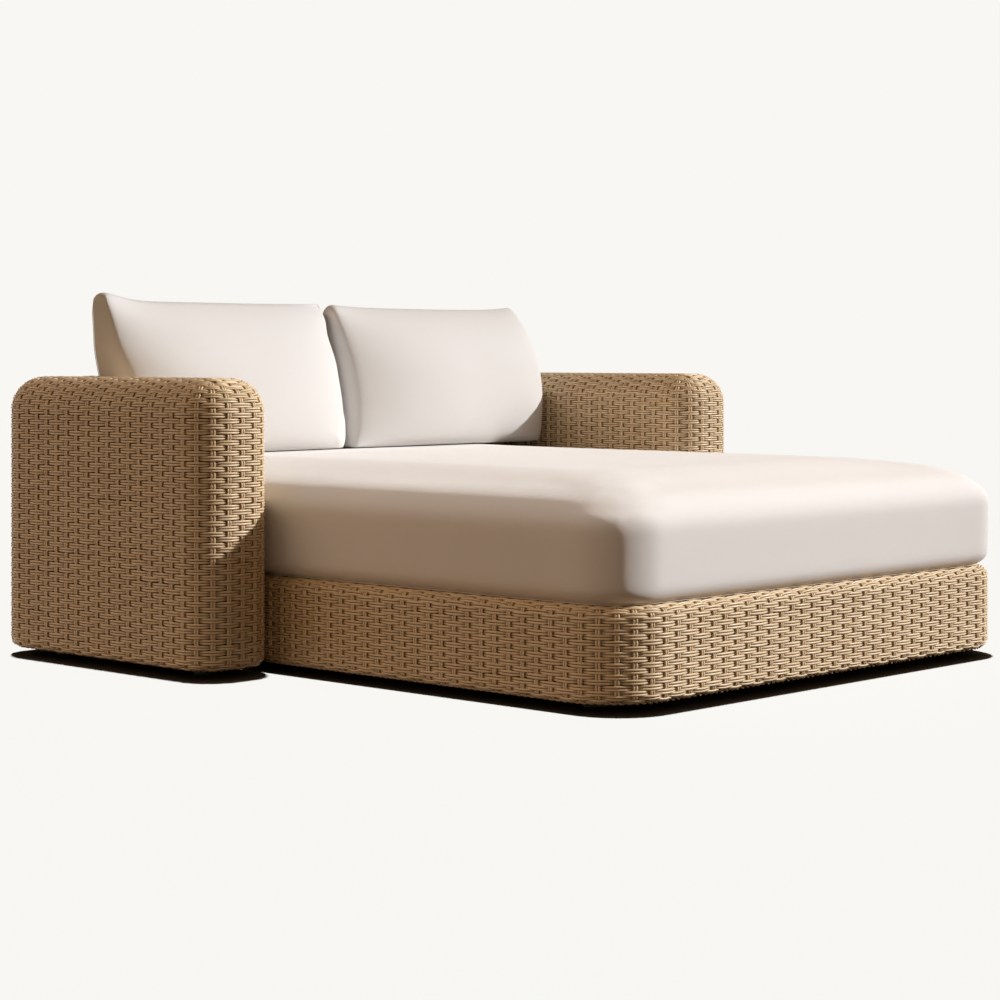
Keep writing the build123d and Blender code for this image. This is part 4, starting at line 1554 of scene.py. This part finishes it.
def seam_roll(name: str, points: Array, radius: float) -> Object:
    """A thin closed roll of cloth through points, as along a seam.

    Args:
        name: Name of the piece.
        points: Places round the loop.
        radius: Radius of the roll.

    Returns:
        The roll, as a mesh at the origin.
    """
    sides = 6
    tangents = np.roll(points, -1, axis=0) - np.roll(points, 1, axis=0)
    tangents /= np.linalg.norm(tangents, axis=1)[:, None]
    spokes = points - points.mean(axis=0)
    axis = np.cross(spokes, np.roll(spokes, -1, axis=0)).sum(axis=0)
    outward = np.cross(tangents, axis / np.linalg.norm(axis))
    outward /= np.linalg.norm(outward, axis=1)[:, None]
    upward = np.cross(tangents, outward)
    turns = [(math.cos(turn), math.sin(turn)) for turn in 2 * math.pi * np.arange(sides) / sides]
    shape = bmesh.new()
    rings = []
    for point, out, up in zip(points, outward, upward):
        rings.append([shape.verts.new(point + radius * (wide * out + high * up)) for wide, high in turns])
    for ring, after in zip(rings, rings[1:] + rings[:1]):
        for step in range(sides):
            following = (step + 1) % sides
            shape.faces.new([ring[step], ring[following], after[following], after[step]])
    return shaped(name, shape, COVER_SEAM, smooth=True)


@dataclass
class Mattress:
    """The deep mattress: straight sides, a soft rolled edge and a crowned top."""

    cells: tuple[int, int, int] = (72, 84, 12)
    core_cells: tuple[int, int, int] = (24, 28, 6)
    edge_reach: float = 0.290
    height_shares: tuple[float, ...] = (
        0.0, 0.03, 0.09, 0.30, 0.60, 0.72, 0.80, 0.855, 0.89, 0.915, 0.96, 1.0
    )
    inset_shares: tuple[float, ...] = (
        0.10, 0.042, 0.012, 0.005, 0.0, 0.02, 0.075, 0.15, 0.26, 0.40, 0.68, 1.0
    )
    rear_share: float = 0.12
    rear_slack: float = 0.0022
    top_slack: float = 0.002
    wall_share: float = 0.72
    edge_crowding: float = 0.25
    corner_power: float = 4.3
    front_corner: float = 0.132
    least_corner: float = 0.03
    rear_corner: float = 0.030
    ripple: float = 0.0012
    ripple_turns: tuple[float, float] = (9.1, 7.3)
    ripple_start: float = 1.3
    ripple_reach: float = 0.9
    wall_hold: float = 0.8
    pressure: float = 1.6
    frames: int = 14
    cap: float = 0.004
    smooth_from: float = 0.9
    smooth_reach: float = 0.04
    smooth_rounds: int = 3
    foam_inset: float = 0.022
    seam_share: float = 0.004
    seam_inset: float = 0.0004
    seam_radius: float = 0.0012
    seam_points: int = 360

    def __post_init__(self) -> None:
        """Reads the mattress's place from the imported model."""
        self.low, self.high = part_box("mattress_cover")
        heights, insets = self.height_shares, self.inset_shares
        walls = sum(share <= self.wall_share for share in heights)
        self.wall_inset = eased_curve(heights[:walls], insets[:walls])
        self.wall_end = insets[walls - 1]
        self.crown_height = eased_curve(insets[walls - 1 :], heights[walls - 1 :])

    def ring(self, across: Array, along: Array, inset: float | Array) -> Array:
        """Points of the rounded outline for places on the edge of a square.

        Args:
            across: From -1 to 1 along X.
            along: From -1 to 1 along Y.
            inset: How far the outline is drawn in.

        Returns:
            The points' X and Y.
        """
        inset = np.broadcast_to(inset, across.shape)
        low = np.column_stack([self.low.x + inset, self.low.y + inset])
        behind = self.high.y - self.rear_slack - inset * self.rear_share
        high = np.column_stack([self.high.x - inset, behind])
        front = np.maximum(self.front_corner - inset, self.least_corner)
        rear = np.full(across.shape, self.rear_corner)
        points = np.zeros((len(across), 2))
        beside = np.abs(across) > np.abs(along)
        for on_side in (False, True):
            chosen = beside == on_side
            if not chosen.any():
                continue
            main, cross = (along, across) if on_side else (across, along)
            axis = 1 if on_side else 0
            positive = cross[chosen] > 0
            share = main[chosen] / np.maximum(np.abs(cross[chosen]), LEAST)
            if on_side:
                first, last = front[chosen], rear[chosen]
            else:
                first = last = np.where(positive, rear[chosen], front[chosen])
            start, end = low[chosen, axis], high[chosen, axis]
            total = end - start - first - last + (first + last) * QUARTER / 2
            run = (share + 1) / 2 * total
            early, late = run < first * QUARTER / 2, run > total - last * QUARTER / 2
            angle_first = math.pi / 4 - np.where(early, run, 0) / first
            angle_last = math.pi / 4 - np.where(late, total - run, 0) / last
            where = start + first + run - first * QUARTER / 2
            where = np.where(early, start + first - first * np.sin(angle_first), where)
            where = np.where(late, end - last + last * np.sin(angle_last), where)
            drop = np.where(early, first * (1 - np.cos(angle_first)), 0)
            drop = drop + np.where(late, last * (1 - np.cos(angle_last)), 0)
            other = np.where(positive, high[chosen, 1 - axis] - drop, low[chosen, 1 - axis] + drop)
            points[chosen, axis], points[chosen, 1 - axis] = where, other
        return points

    def form(self, a: Array, b: Array, c: Array, skin: float = 0.0) -> Array:
        """Shape of the mattress over its grid.

        Args:
            a: Grid place across, from 0 to 1.
            b: Grid place from front to rear, from 0 to 1.
            c: Grid place up, from 0 to 1.
            skin: How far the form is drawn in.

        Returns:
            One point for each place.
        """
        crowding, places = self.edge_crowding, (2 * a - 1, 2 * b - 1)
        across, along = (place * (1 + crowding - crowding * place**2) for place in places)
        reach = np.maximum(np.abs(across), np.abs(along))
        level = c * self.wall_share
        inset = self.wall_inset(level) * self.edge_reach + skin
        edge = self.ring(across / np.maximum(reach, TINY), along / np.maximum(reach, TINY), inset)
        middle = np.array([(self.low.x + self.high.x) / 2, (self.low.y + self.high.y) / 2])
        flat = middle + (edge - middle) * reach[:, None]
        beside = np.minimum(flat[:, 0] - self.low.x, self.high.x - flat[:, 0]) - skin
        ahead = np.minimum(flat[:, 1] - self.low.y - skin, (self.high.y - flat[:, 1]) / self.rear_share)
        power = self.corner_power
        left_over = [np.clip(1 - gap / self.edge_reach, 0, 1) ** power for gap in (beside, ahead)]
        near = 1 - (left_over[0] + left_over[1]) ** (1 / power)
        crown = self.crown_height(np.clip(near, self.wall_end, 1.0))
        height = np.where(c >= 1, np.maximum(crown, self.wall_share), level)
        height = np.where((c >= 1) & (reach >= 1 - TINY), self.wall_share, height)
        bottom, top = self.low.z + skin, self.high.z - self.top_slack - skin
        waves = self.ripple * np.sin(flat[:, 0] * self.ripple_turns[0] + self.ripple_start)
        waves = waves * np.sin(flat[:, 1] * self.ripple_turns[1]) * (c >= 1) * (reach < self.ripple_reach)
        return np.column_stack([flat, bottom + height * (top - bottom) + waves])

    def build(self) -> list[Object]:
        """Makes the cover, its seam, its core and its zip.

        Returns:
            The pieces.
        """
        size = self.high - self.low
        cover = StuffedCover("mattress_pad", self.cells, size, self.form, COVER_CLOTH)
        places = cover.sew()
        along, up = places[:, 1], places[:, 2]
        held = np.where((up <= 0) | (along >= 1), 1.0, np.where(up < 1, self.wall_hold, 0.0))
        cover.stuff(held, self.pressure, self.cap, self.frames, (self.low, self.high))
        slack = np.clip((1 - along) / self.smooth_reach, 0, 1)
        cover.relax(np.where(up >= self.smooth_from, slack, 0.0), self.smooth_rounds)
        pad = hand_over(cover.close(), "mattress", ["mattress_cover"])
        seam = hand_over(self.seam(), "mattress")
        inner = partial(self.form, skin=self.foam_inset)
        core = StuffedCover("mattress_foam", self.core_cells, size, inner, FOAM)
        core.sew()
        foam = hand_over(core.close(), "mattress", ["mattress_core"])
        return [pad, seam, foam] + ZipRunner("mattress", "mattress", Vector((0, 1, 0))).build()

    def seam(self) -> Object:
        """The roll along the lower edge.

        Returns:
            The piece.
        """
        angle = np.linspace(0, 2 * math.pi, self.seam_points + 1)[:-1]
        square = np.column_stack([np.cos(angle), np.sin(angle)])
        square /= np.abs(square).max(axis=1)[:, None]
        inset = self.wall_inset(np.array([self.seam_share]))[0] * self.edge_reach + self.seam_inset
        edge = self.ring(square[:, 0], square[:, 1], inset)
        level = np.full(len(angle), self.low.z + self.seam_share * (self.high.z - self.low.z))
        return seam_roll("mattress_seam", np.column_stack([edge, level]), self.seam_radius)


@dataclass
class BackCushion:
    """One wedge-shaped back cushion with boxed sides. Pairs of sizes are for the left and the right one."""

    side: Side
    cells: tuple[int, int, int] = (64, 14, 40)
    fibre_cells: tuple[int, int, int] = (24, 6, 16)
    depth: float = 0.148
    crown: float = 0.072
    draw: Pair = (0.009, 0.002)
    height_shares: tuple[float, ...] = (0.0, 0.06, 0.30, 0.55, 0.76, 0.91, 1.0)
    depth_shares: tuple[float, ...] = (0.96, 1.0, 1.0, 0.93, 0.72, 0.48, 0.27)
    crown_shares: tuple[float, ...] = (0.28, 0.70, 1.0, 0.95, 0.70, 0.35, 0.12)
    draw_shares: tuple[float, ...] = (0.10, 0.45, 1.0, 1.0, 0.75, 0.30, 0.0)
    even_share: float = 0.55
    crowded_share: float = 0.45
    start_crown: Pair = (0.74, 0.98)
    left_power: Pair = (2.3, 1.9)
    right_power: Pair = (2.5, 4.5)
    left_round: Pair = (0.70, 0.85)
    right_round: float = 0.55
    fibre_inset: float = 0.02
    seam_radius: float = 0.0009
    slack: float = 0.003
    under_gap: float = 0.0015
    dip: Pair = (0.003, 0.009)
    top_start: float = 0.8
    top_share: float = 0.2
    top_dome: float = 0.008
    ear_rise: float = 0.018
    ear_reach: float = 0.080
    ear_round: float = 0.020
    lean: float = 0.030
    lean_start: float = 0.58
    lean_run: float = 0.18
    tucks: Pair = (0.035, 0.0)
    tuck_share: float = 0.20
    pulls: tuple[Pair, Pair] = ((0.024, 0.053), (0.015, 0.0))
    left_pull_shares: tuple[float, ...] = (0.0, 0.3, 0.8, 1.0, 0.5, -0.3, -0.8)
    right_pull_shares: tuple[float, ...] = (0.0, 0.2, 0.7, 0.95, 1.0, 0.65, 0.6)
    pull_power: int = 5
    seam_hold: float = 0.85
    pressure: float = 3.2
    frames: int = 20
    cap: float = 0.022
    room_below: Vector = field(default_factory=lambda: Vector((-0.002, -0.012, 0.0)))
    room_above: Vector = field(default_factory=lambda: Vector((0.002, 0.0, 0.016)))
    soft_reach: Pair = (0.045, 0.11)
    soft_rounds: tuple[int, int] = (20, 60)
    soft_top: float = 0.12
    soft_bottom: float = 0.1

    def __post_init__(self) -> None:
        """Reads the cushion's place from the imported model."""
        self.node = f"{self.side.word}_cushion"
        self.low, self.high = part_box(f"{self.node}_cover")
        self.index = 0 if self.side is Side.LEFT else 1
        shares = [self.depth_shares, self.crown_shares, self.draw_shares]
        shares += [self.left_pull_shares, self.right_pull_shares]
        curves = [eased_curve(self.height_shares, values) for values in shares]
        self.depth_at, self.crown_at, self.draw_at, *self.pull_at = curves

    def form(self, a: Array, b: Array, c: Array, skin: float = 0.0) -> Array:
        """Shape of the cushion before it is stuffed.

        Args:
            a: Grid place across, from 0 to 1.
            b: Grid place from front to rear, from 0 to 1.
            c: Grid place up, from 0 to 1.
            skin: How far the form is drawn in.

        Returns:
            One point for each place.
        """
        here, place = self.index, 2 * a - 1
        across = self.even_share * place + self.crowded_share * np.sin(QUARTER * place)
        leftward, away = across < 0, np.abs(across)
        half = (self.high.x - self.low.x) / 2 - self.slack - skin - self.draw_at(c) * self.draw[here]
        rear = self.high.y - self.slack - skin
        edge = self.high.y - self.depth_at(c) * self.depth + skin + self.slack
        power = np.where(leftward, self.left_power[here], self.right_power[here])
        rounding = np.where(leftward, self.left_round[here], self.right_round)
        bulge = np.clip(1 - away**power, 0, 1) ** rounding
        corner = np.clip((away - 1 + self.tuck_share) / self.tuck_share, 0, 1) ** 2
        tuck = self.tucks[here] * corner * np.clip(1 - c / self.tuck_share, 0, 1) ** 1.5
        front = edge - self.start_crown[here] * self.crown_at(c) * self.crown * bulge + tuck
        for end, length, share_at in zip((-1, 1), self.pulls[here], self.pull_at):
            front = front + length * share_at(c) * np.clip(end * across, 0, 1) ** self.pull_power
        near_top, ear = np.clip((c - self.top_start) / self.top_share, 0, 1) ** 2, 0.0
        if self.side is Side.LEFT:
            ear = self.ear_rise * np.exp(-(((1 + across) * half / self.ear_reach) ** 2))
        shift = ear - self.dip[here] * (1 - across**4) - self.top_dome * (2 * b - 1) ** 2
        height = self.high.z - self.low.z - 2 * skin - self.slack
        z = self.low.z + self.under_gap + skin + c * height + shift * near_top
        middle = (self.low.x + self.high.x) / 2
        return np.column_stack([middle + across * half, rear + (1 - b) * (front - rear), z])

    def build(self) -> list[Object]:
        """Makes the cover, its rear seam, its filling and its zip.

        Returns:
            The pieces.
        """
        body, size = f"{self.side.word}_back_cushion", self.high - self.low
        cover = StuffedCover(f"{self.node}_pad", self.cells, size, self.form, SHADED_CUSHION_CLOTH)
        places = cover.sew()
        seam = ((places <= 0) | (places >= 1)).sum(axis=1) >= 2
        fixed = (places[:, 2] <= 0) | (places[:, 1] >= 1)
        held = np.where(fixed, 1.0, np.where(seam, self.seam_hold, 0.0))
        room = (self.low + self.room_below, self.high + self.room_above)
        cover.stuff(held, self.pressure, self.cap, self.frames, room)
        if self.side is Side.LEFT:
            points = read_points(cover.made.data)
            over_arm = np.clip((points[:, 2] - self.lean_start) / self.lean_run, 0, 1)
            points[:, 0] -= self.lean * (1 - places[:, 0]) * over_arm * over_arm * (3 - 2 * over_arm)
            write_points(cover.made.data, points)
        cover.relax(self.slack_at(places), self.soft_rounds[self.index])
        loop = read_points(cover.made.data)[self.rear_loop(places)].astype(float)
        pad = hand_over(cover.close(), body, [f"{self.node}_cover"])
        seam = hand_over(seam_roll(f"{self.node}_rear_seam", loop, self.seam_radius), body)
        inner = partial(self.form, skin=self.fibre_inset)
        filling = StuffedCover(f"{self.node}_fibre", self.fibre_cells, size, inner, FIBRE)
        filling.sew()
        fibre = hand_over(filling.close(), body, [f"{self.node}_filling"])
        return [pad, seam, fibre] + ZipRunner(self.node, body, Vector((0, 0, -1))).build()

    def slack_at(self, places: Array) -> Array:
        """How far the left front edge and the left top corner give, where the filling rounds them off.

        Args:
            places: Grid places from 0 to 1.

        Returns:
            One weight for each place, from 0 to 1.
        """
        from_left = places[:, 0] * (self.high.x - self.low.x)
        from_top = (1 - places[:, 2]) * (self.high.z - self.low.z)
        gap, ear = np.hypot(from_left, places[:, 1] * self.depth), np.hypot(from_left, from_top)
        above = np.clip((1 - places[:, 2]) / self.soft_top, 0, 1)
        ends = above * np.clip(places[:, 2] / self.soft_bottom, 0, 1)
        along_edge = np.exp(-((gap / self.soft_reach[self.index]) ** 2)) * ends
        return np.maximum(along_edge, np.exp(-((ear / self.ear_round) ** 2)))

    @staticmethod
    def rear_loop(places: Array) -> Array:
        """The numbers of the points round the rear panel.

        Args:
            places: Grid places from 0 to 1.

        Returns:
            The numbers in order, round the loop.
        """
        across, up = places[:, 0], places[:, 2]
        on_edge = (across <= 0) | (across >= 1) | (up <= 0) | (up >= 1)
        chosen = np.flatnonzero(np.isclose(places[:, 1], 1.0) & on_edge)
        return chosen[np.argsort(np.arctan2(up[chosen] - 0.5, across[chosen] - 0.5))]


@dataclass
class ZipRunner:
    """A coil zip: tape, teeth, slider and puller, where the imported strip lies."""

    owner: str
    body: str
    outward: Vector
    pitch: float = 0.0016
    tape_height: float = 0.0007
    tape_place: float = 0.26
    tape_share: float = 0.46
    tooth: tuple[float, float, float] = (0.0009, 0.0034, 0.0009)
    slider: tuple[float, float, float] = (0.011, 0.0075, 0.0026)
    slider_place: float = 0.016
    puller: tuple[float, float, float] = (0.019, 0.0048, 0.0012)
    puller_gap: float = 0.002
    tape_bevel: float = 0.0002
    slider_bevel: float = 0.0005

    def __post_init__(self) -> None:
        """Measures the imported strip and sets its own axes: along X, across it and outwards."""
        self.name = f"{self.owner}_closure"
        low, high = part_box(f"{self.owner}_zip")
        self.across = Vector((1, 0, 0)).cross(self.outward)
        self.length = high.x - low.x
        self.width = abs((high - low).dot(self.across))
        self.foot = (low + high) / 2 - self.outward * abs((high - low).dot(self.outward)) / 2

    def _blocks(self, name: str, blocks: Sequence[tuple], finish: Finish, bevel: float) -> Object:
        """Makes one piece from bevelled blocks in the strip's own axes.

        Args:
            name: Name of the piece.
            blocks: Middle and size of each, along, across and outwards, from the strip's foot.
            finish: Its finish.
            bevel: Width of the bevel.

        Returns:
            The piece.
        """
        shape, axes = bmesh.new(), (Vector((1, 0, 0)), self.across, self.outward)
        for centre, size in blocks:
            for vertex in bmesh.ops.create_cube(shape, size=1.0)["verts"]:
                offset = [part + local * width for part, local, width in zip(centre, vertex.co, size)]
                vertex.co = self.foot + sum((axis * value for axis, value in zip(axes, offset)), Vector())
        edges = list(shape.edges)
        bmesh.ops.bevel(shape, geom=edges, offset=bevel, segments=2, profile=0.6, affect="EDGES")
        return shaped(f"{self.name}_{name}", shape, finish)

    def _teeth(self) -> Object:
        """The row of teeth, repeated by geometry nodes along the strip.

        Returns:
            The piece.
        """
        tool = Tool(f"{self.name}_teeth", {"Count": "Int", "Pitch": "Float"})
        step = tool.node("ShaderNodeCombineXYZ", {0: tool.given["Pitch"]}).outputs[0]
        inputs = {"Count": tool.given["Count"], "Offset": step}
        line = tool.node("GeometryNodeMeshLine", inputs, mode="OFFSET")
        along, wide, high = self.tooth
        size = Vector((along, 0, 0)) + self.across * wide + self.outward * high
        cube = tool.node("GeometryNodeMeshCube", {"Size": [abs(part) for part in size]})
        inputs = {"Points": line.outputs[0], "Instance": cube.outputs[0]}
        row = tool.node("GeometryNodeInstanceOnPoints", inputs).outputs[0]
        start = self.foot - Vector((self.length / 2 - self.pitch, 0, 0))
        start = start + self.outward * (self.tape_height + high / 2)
        tool.close(tool.node("GeometryNodeTransform", {"Geometry": row, "Translation": start}).outputs[0])
        holder = new_object(f"{self.name}_row", bpy.data.meshes.new(f"{self.name}_row"))
        values = {"Count": int(self.length / self.pitch) - 1, "Pitch": self.pitch}
        return tool.run(holder, f"{self.name}_coil", ZIP_NYLON, values)

    def build(self) -> list[Object]:
        """Makes and hands over the zip's pieces.

        Returns:
            The pieces.
        """
        strip, high = (self.length, self.width * self.tape_share, self.tape_height), self.tape_height / 2
        tape = [((0, side * self.width * self.tape_place, high), strip) for side in (-1, 1)]
        end = self.length / 2 - self.slider_place
        slider = ((end, 0, self.slider[2] / 2), self.slider)
        puller = ((end - self.puller[0] / 2 - self.puller_gap, 0, self.slider[2]), self.puller)
        pieces = [
            self._blocks("tape", tape, ZIP_TAPE, self.tape_bevel),
            self._teeth(),
            self._blocks("slider", [slider, puller], STEEL, self.slider_bevel),
        ]
        return [hand_over(piece, self.body, [f"{self.owner}_zip"]) for piece in pieces]


class MetalAndPlastic:
    """The tubes, slats, fasteners and glides, whose CAD shapes stay."""

    FASTENERS = ("bolt", "nut", "washer", "rivet")

    def dress(self) -> int:
        """Gives every CAD node that stays its finish.

        Returns:
            How many nodes were dressed.
        """
        kept = {name: node for name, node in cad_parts.items() if not node.hide_render}
        for name, node in kept.items():
            finish = self.finish_of(name)
            if not node.material_slots:
                node.data.materials.append(finish.material())
            for slot in node.material_slots:
                slot.material = finish.material()
            LOG.info("%s: CAD shape kept, finish %s", name, finish.name)
        return len(kept)

    def finish_of(self, name: str) -> Finish:
        """The finish of a node, from its name.

        Args:
            name: The node's name.

        Returns:
            The finish.
        """
        if any(word in name for word in self.FASTENERS):
            return STEEL
        if "slat" in name:
            return SLAT_COAT
        return GLIDE_PLASTIC if "glide" in name else FRAME_COAT


@dataclass(frozen=True)
class Sun:
    """A distant light: how strong, how wide in degrees, in which direction and of what colour."""

    name: str
    strength: float
    angle: float
    toward: tuple[float, float, float]
    tint: Colour = (1.0, 1.0, 1.0)

    def hang(self) -> Object:
        """Puts the light into the scene.

        Returns:
            The light.
        """
        lamp = bpy.data.lights.new(self.name, "SUN")
        lamp.energy, lamp.angle, lamp.color = self.strength, math.radians(self.angle), self.tint
        made = new_object(self.name, lamp)
        made.rotation_euler = Vector(self.toward).to_track_quat("Z", "Y").to_euler()
        return made


@dataclass
class Studio:
    """Floor, light and camera."""

    backdrop: Colour = (0.939, 0.930, 0.896)
    lit_floor: Colour = (0.1599, 0.1597, 0.1548)
    fill: Colour = (0.140, 0.090, 0.051)
    bounce: Colour = (0.018, 0.010, 0.0052)
    key: Sun = Sun("key", 3.9, 2.0, (0.653, -0.588, 0.4765))
    soft: Sun = Sun("soft", 0.7, 50.0, (0.0, 0.0, 1.0))
    side: Sun = Sun("side", 0.62, 55.0, (-0.80, 0.38, 0.45), (1.0, 0.70, 0.46))
    above: Sun = Sun("above", 18.0, 1.2, (0.03, 0.05, 1.0))
    floor_reach: float = 9.0
    fade: Pair = (2.6, 5.5)
    camera_place: tuple[float, float, float] = (-4.319, -3.937, 0.727)
    camera_turn: float = -46.8
    focal_pixels: float = 2367.2
    picture_side: float = 1000.0
    horizon: float = 354.8
    sensor: float = 36.0
    clip: Pair = (0.1, 60.0)

    def build(self) -> None:
        """Makes the whole studio."""
        self._world()
        floor = self._floor()
        suns = (self.key, self.soft, self.side, self.above)
        key, self.soft_lamp, side, above = (sun.hang() for sun in suns)
        for lamp, reach in ((key, Reach.ALL_BUT), (side, Reach.ALL_BUT), (above, Reach.ONLY)):
            self._aim(lamp, floor, reach)
        self._camera()
        bpy.context.scene.view_settings.view_transform = "Standard"

    def light_top(self, pieces: Sequence[Object]) -> None:
        """Lets the soft overhead light reach the lying surface only.

        Args:
            pieces: All the pieces that were made.
        """
        for piece in pieces:
            if piece.name == "mattress_pad":
                self._aim(self.soft_lamp, piece, Reach.ONLY)

    @staticmethod
    def _seen(graph: Graph) -> tuple[Socket, Socket]:
        """Tells the rays that show a surface from those that light another.

        Args:
            graph: The graph that asks.

        Returns:
            The share for every ray that shows, and the share for the camera's own.
        """
        rays = graph.node("ShaderNodeLightPath").outputs
        passed_on = graph.math("MAXIMUM", rays["Is Glossy Ray"], rays["Is Transmission Ray"])
        return graph.math("MAXIMUM", rays["Is Camera Ray"], passed_on), rays["Is Camera Ray"]

    def _world(self) -> None:
        """An even sky that the camera sees as the pale backdrop."""
        world = bpy.data.worlds.new("studio_sky")
        bpy.context.scene.world = world
        world.use_nodes = True
        graph = Graph(world.node_tree)
        lit, pale = (
            graph.node("ShaderNodeBackground", {"Color": rgba(colour), "Strength": 1.0}).outputs[0]
            for colour in (self.fill, self.backdrop)
        )
        mixed = graph.node("ShaderNodeMixShader", {0: self._seen(graph)[0], 1: lit, 2: pale})
        graph.node("ShaderNodeOutputWorld", {"Surface": mixed.outputs[0]})

    def _floor(self) -> Object:
        """A pale floor that fades into the backdrop and keeps the shadow.

        Returns:
            The floor.
        """
        size = self.floor_reach
        mesh = bpy.data.meshes.new("floor")
        corners = [(-size, -size, 0), (size, -size, 0), (size, size, 0), (-size, size, 0)]
        mesh.from_pydata(corners, [], [(0, 1, 2, 3)])
        floor = new_object("floor", mesh)
        made = bpy.data.materials.new("pale_floor")
        made.use_nodes = True
        graph = Graph(made.node_tree)
        seen, by_camera = self._seen(graph)
        colour = graph.blend(seen, rgba(self.bounce), rgba(self.lit_floor))
        ground = graph.node("ShaderNodeBsdfDiffuse", {"Color": colour}).outputs[0]
        clear = graph.node("ShaderNodeBsdfTransparent").outputs[0]
        place = graph.node("ShaderNodeTexCoord").outputs["Object"]
        far = graph.node("ShaderNodeVectorMath", {0: place}, operation="LENGTH").outputs["Value"]
        fade = graph.math("MULTIPLY", graph.between(far, *self.fade), by_camera)
        mixed = graph.node("ShaderNodeMixShader", {0: fade, 1: ground, 2: clear})
        graph.node("ShaderNodeOutputMaterial", {"Surface": mixed.outputs[0]})
        mesh.materials.append(made)
        return floor

    @staticmethod
    def _aim(lamp: Object, target: Object, reach: Reach) -> None:
        """Lets a lamp reach only one object, or all but that one.

        Args:
            lamp: The lamp.
            target: The object.
            reach: Which of the two.
        """
        reached = bpy.data.collections.new(f"{lamp.name}_reach")
        reached.objects.link(target)
        lamp.light_linking.receiver_collection = reached
        reached.collection_objects[0].light_linking.link_state = reach.value

    def _camera(self) -> None:
        """The camera, level, at the photograph's angle."""
        data = bpy.data.cameras.new("camera")
        data.sensor_width = self.sensor
        data.lens = self.focal_pixels / self.picture_side * data.sensor_width
        data.shift_y = (self.horizon - self.picture_side / 2) / self.picture_side
        data.clip_start, data.clip_end = self.clip
        camera = new_object("camera", data)
        camera.location = self.camera_place
        camera.rotation_euler = (math.radians(90), 0, math.radians(self.camera_turn))
        bpy.context.scene.camera = camera


def write_sizes() -> None:
    """Brings the view layer up to date."""
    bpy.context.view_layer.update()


def main() -> None:
    """Builds every piece in order."""
    logging.basicConfig(level=logging.INFO, format="%(name)s %(message)s")
    studio = Studio()
    studio.build()
    sizes, loom = DaybedSizes(), StrandLoom()
    arms = [ArmCase(sizes, loom, side) for side in Side]
    soft = [Mattress(), BackCushion(Side.LEFT), BackCushion(Side.RIGHT)]
    pieces = []
    for part in (*arms, BaseCase(sizes, loom), BackCase(sizes, loom), *soft):
        pieces += part.build()
    studio.light_top(pieces)
    dressed = MetalAndPlastic().dress()
    write_sizes()
    LOG.info("%d pieces made, %d CAD nodes dressed", len(pieces), dressed)


if __name__ == "__main__":
    main()
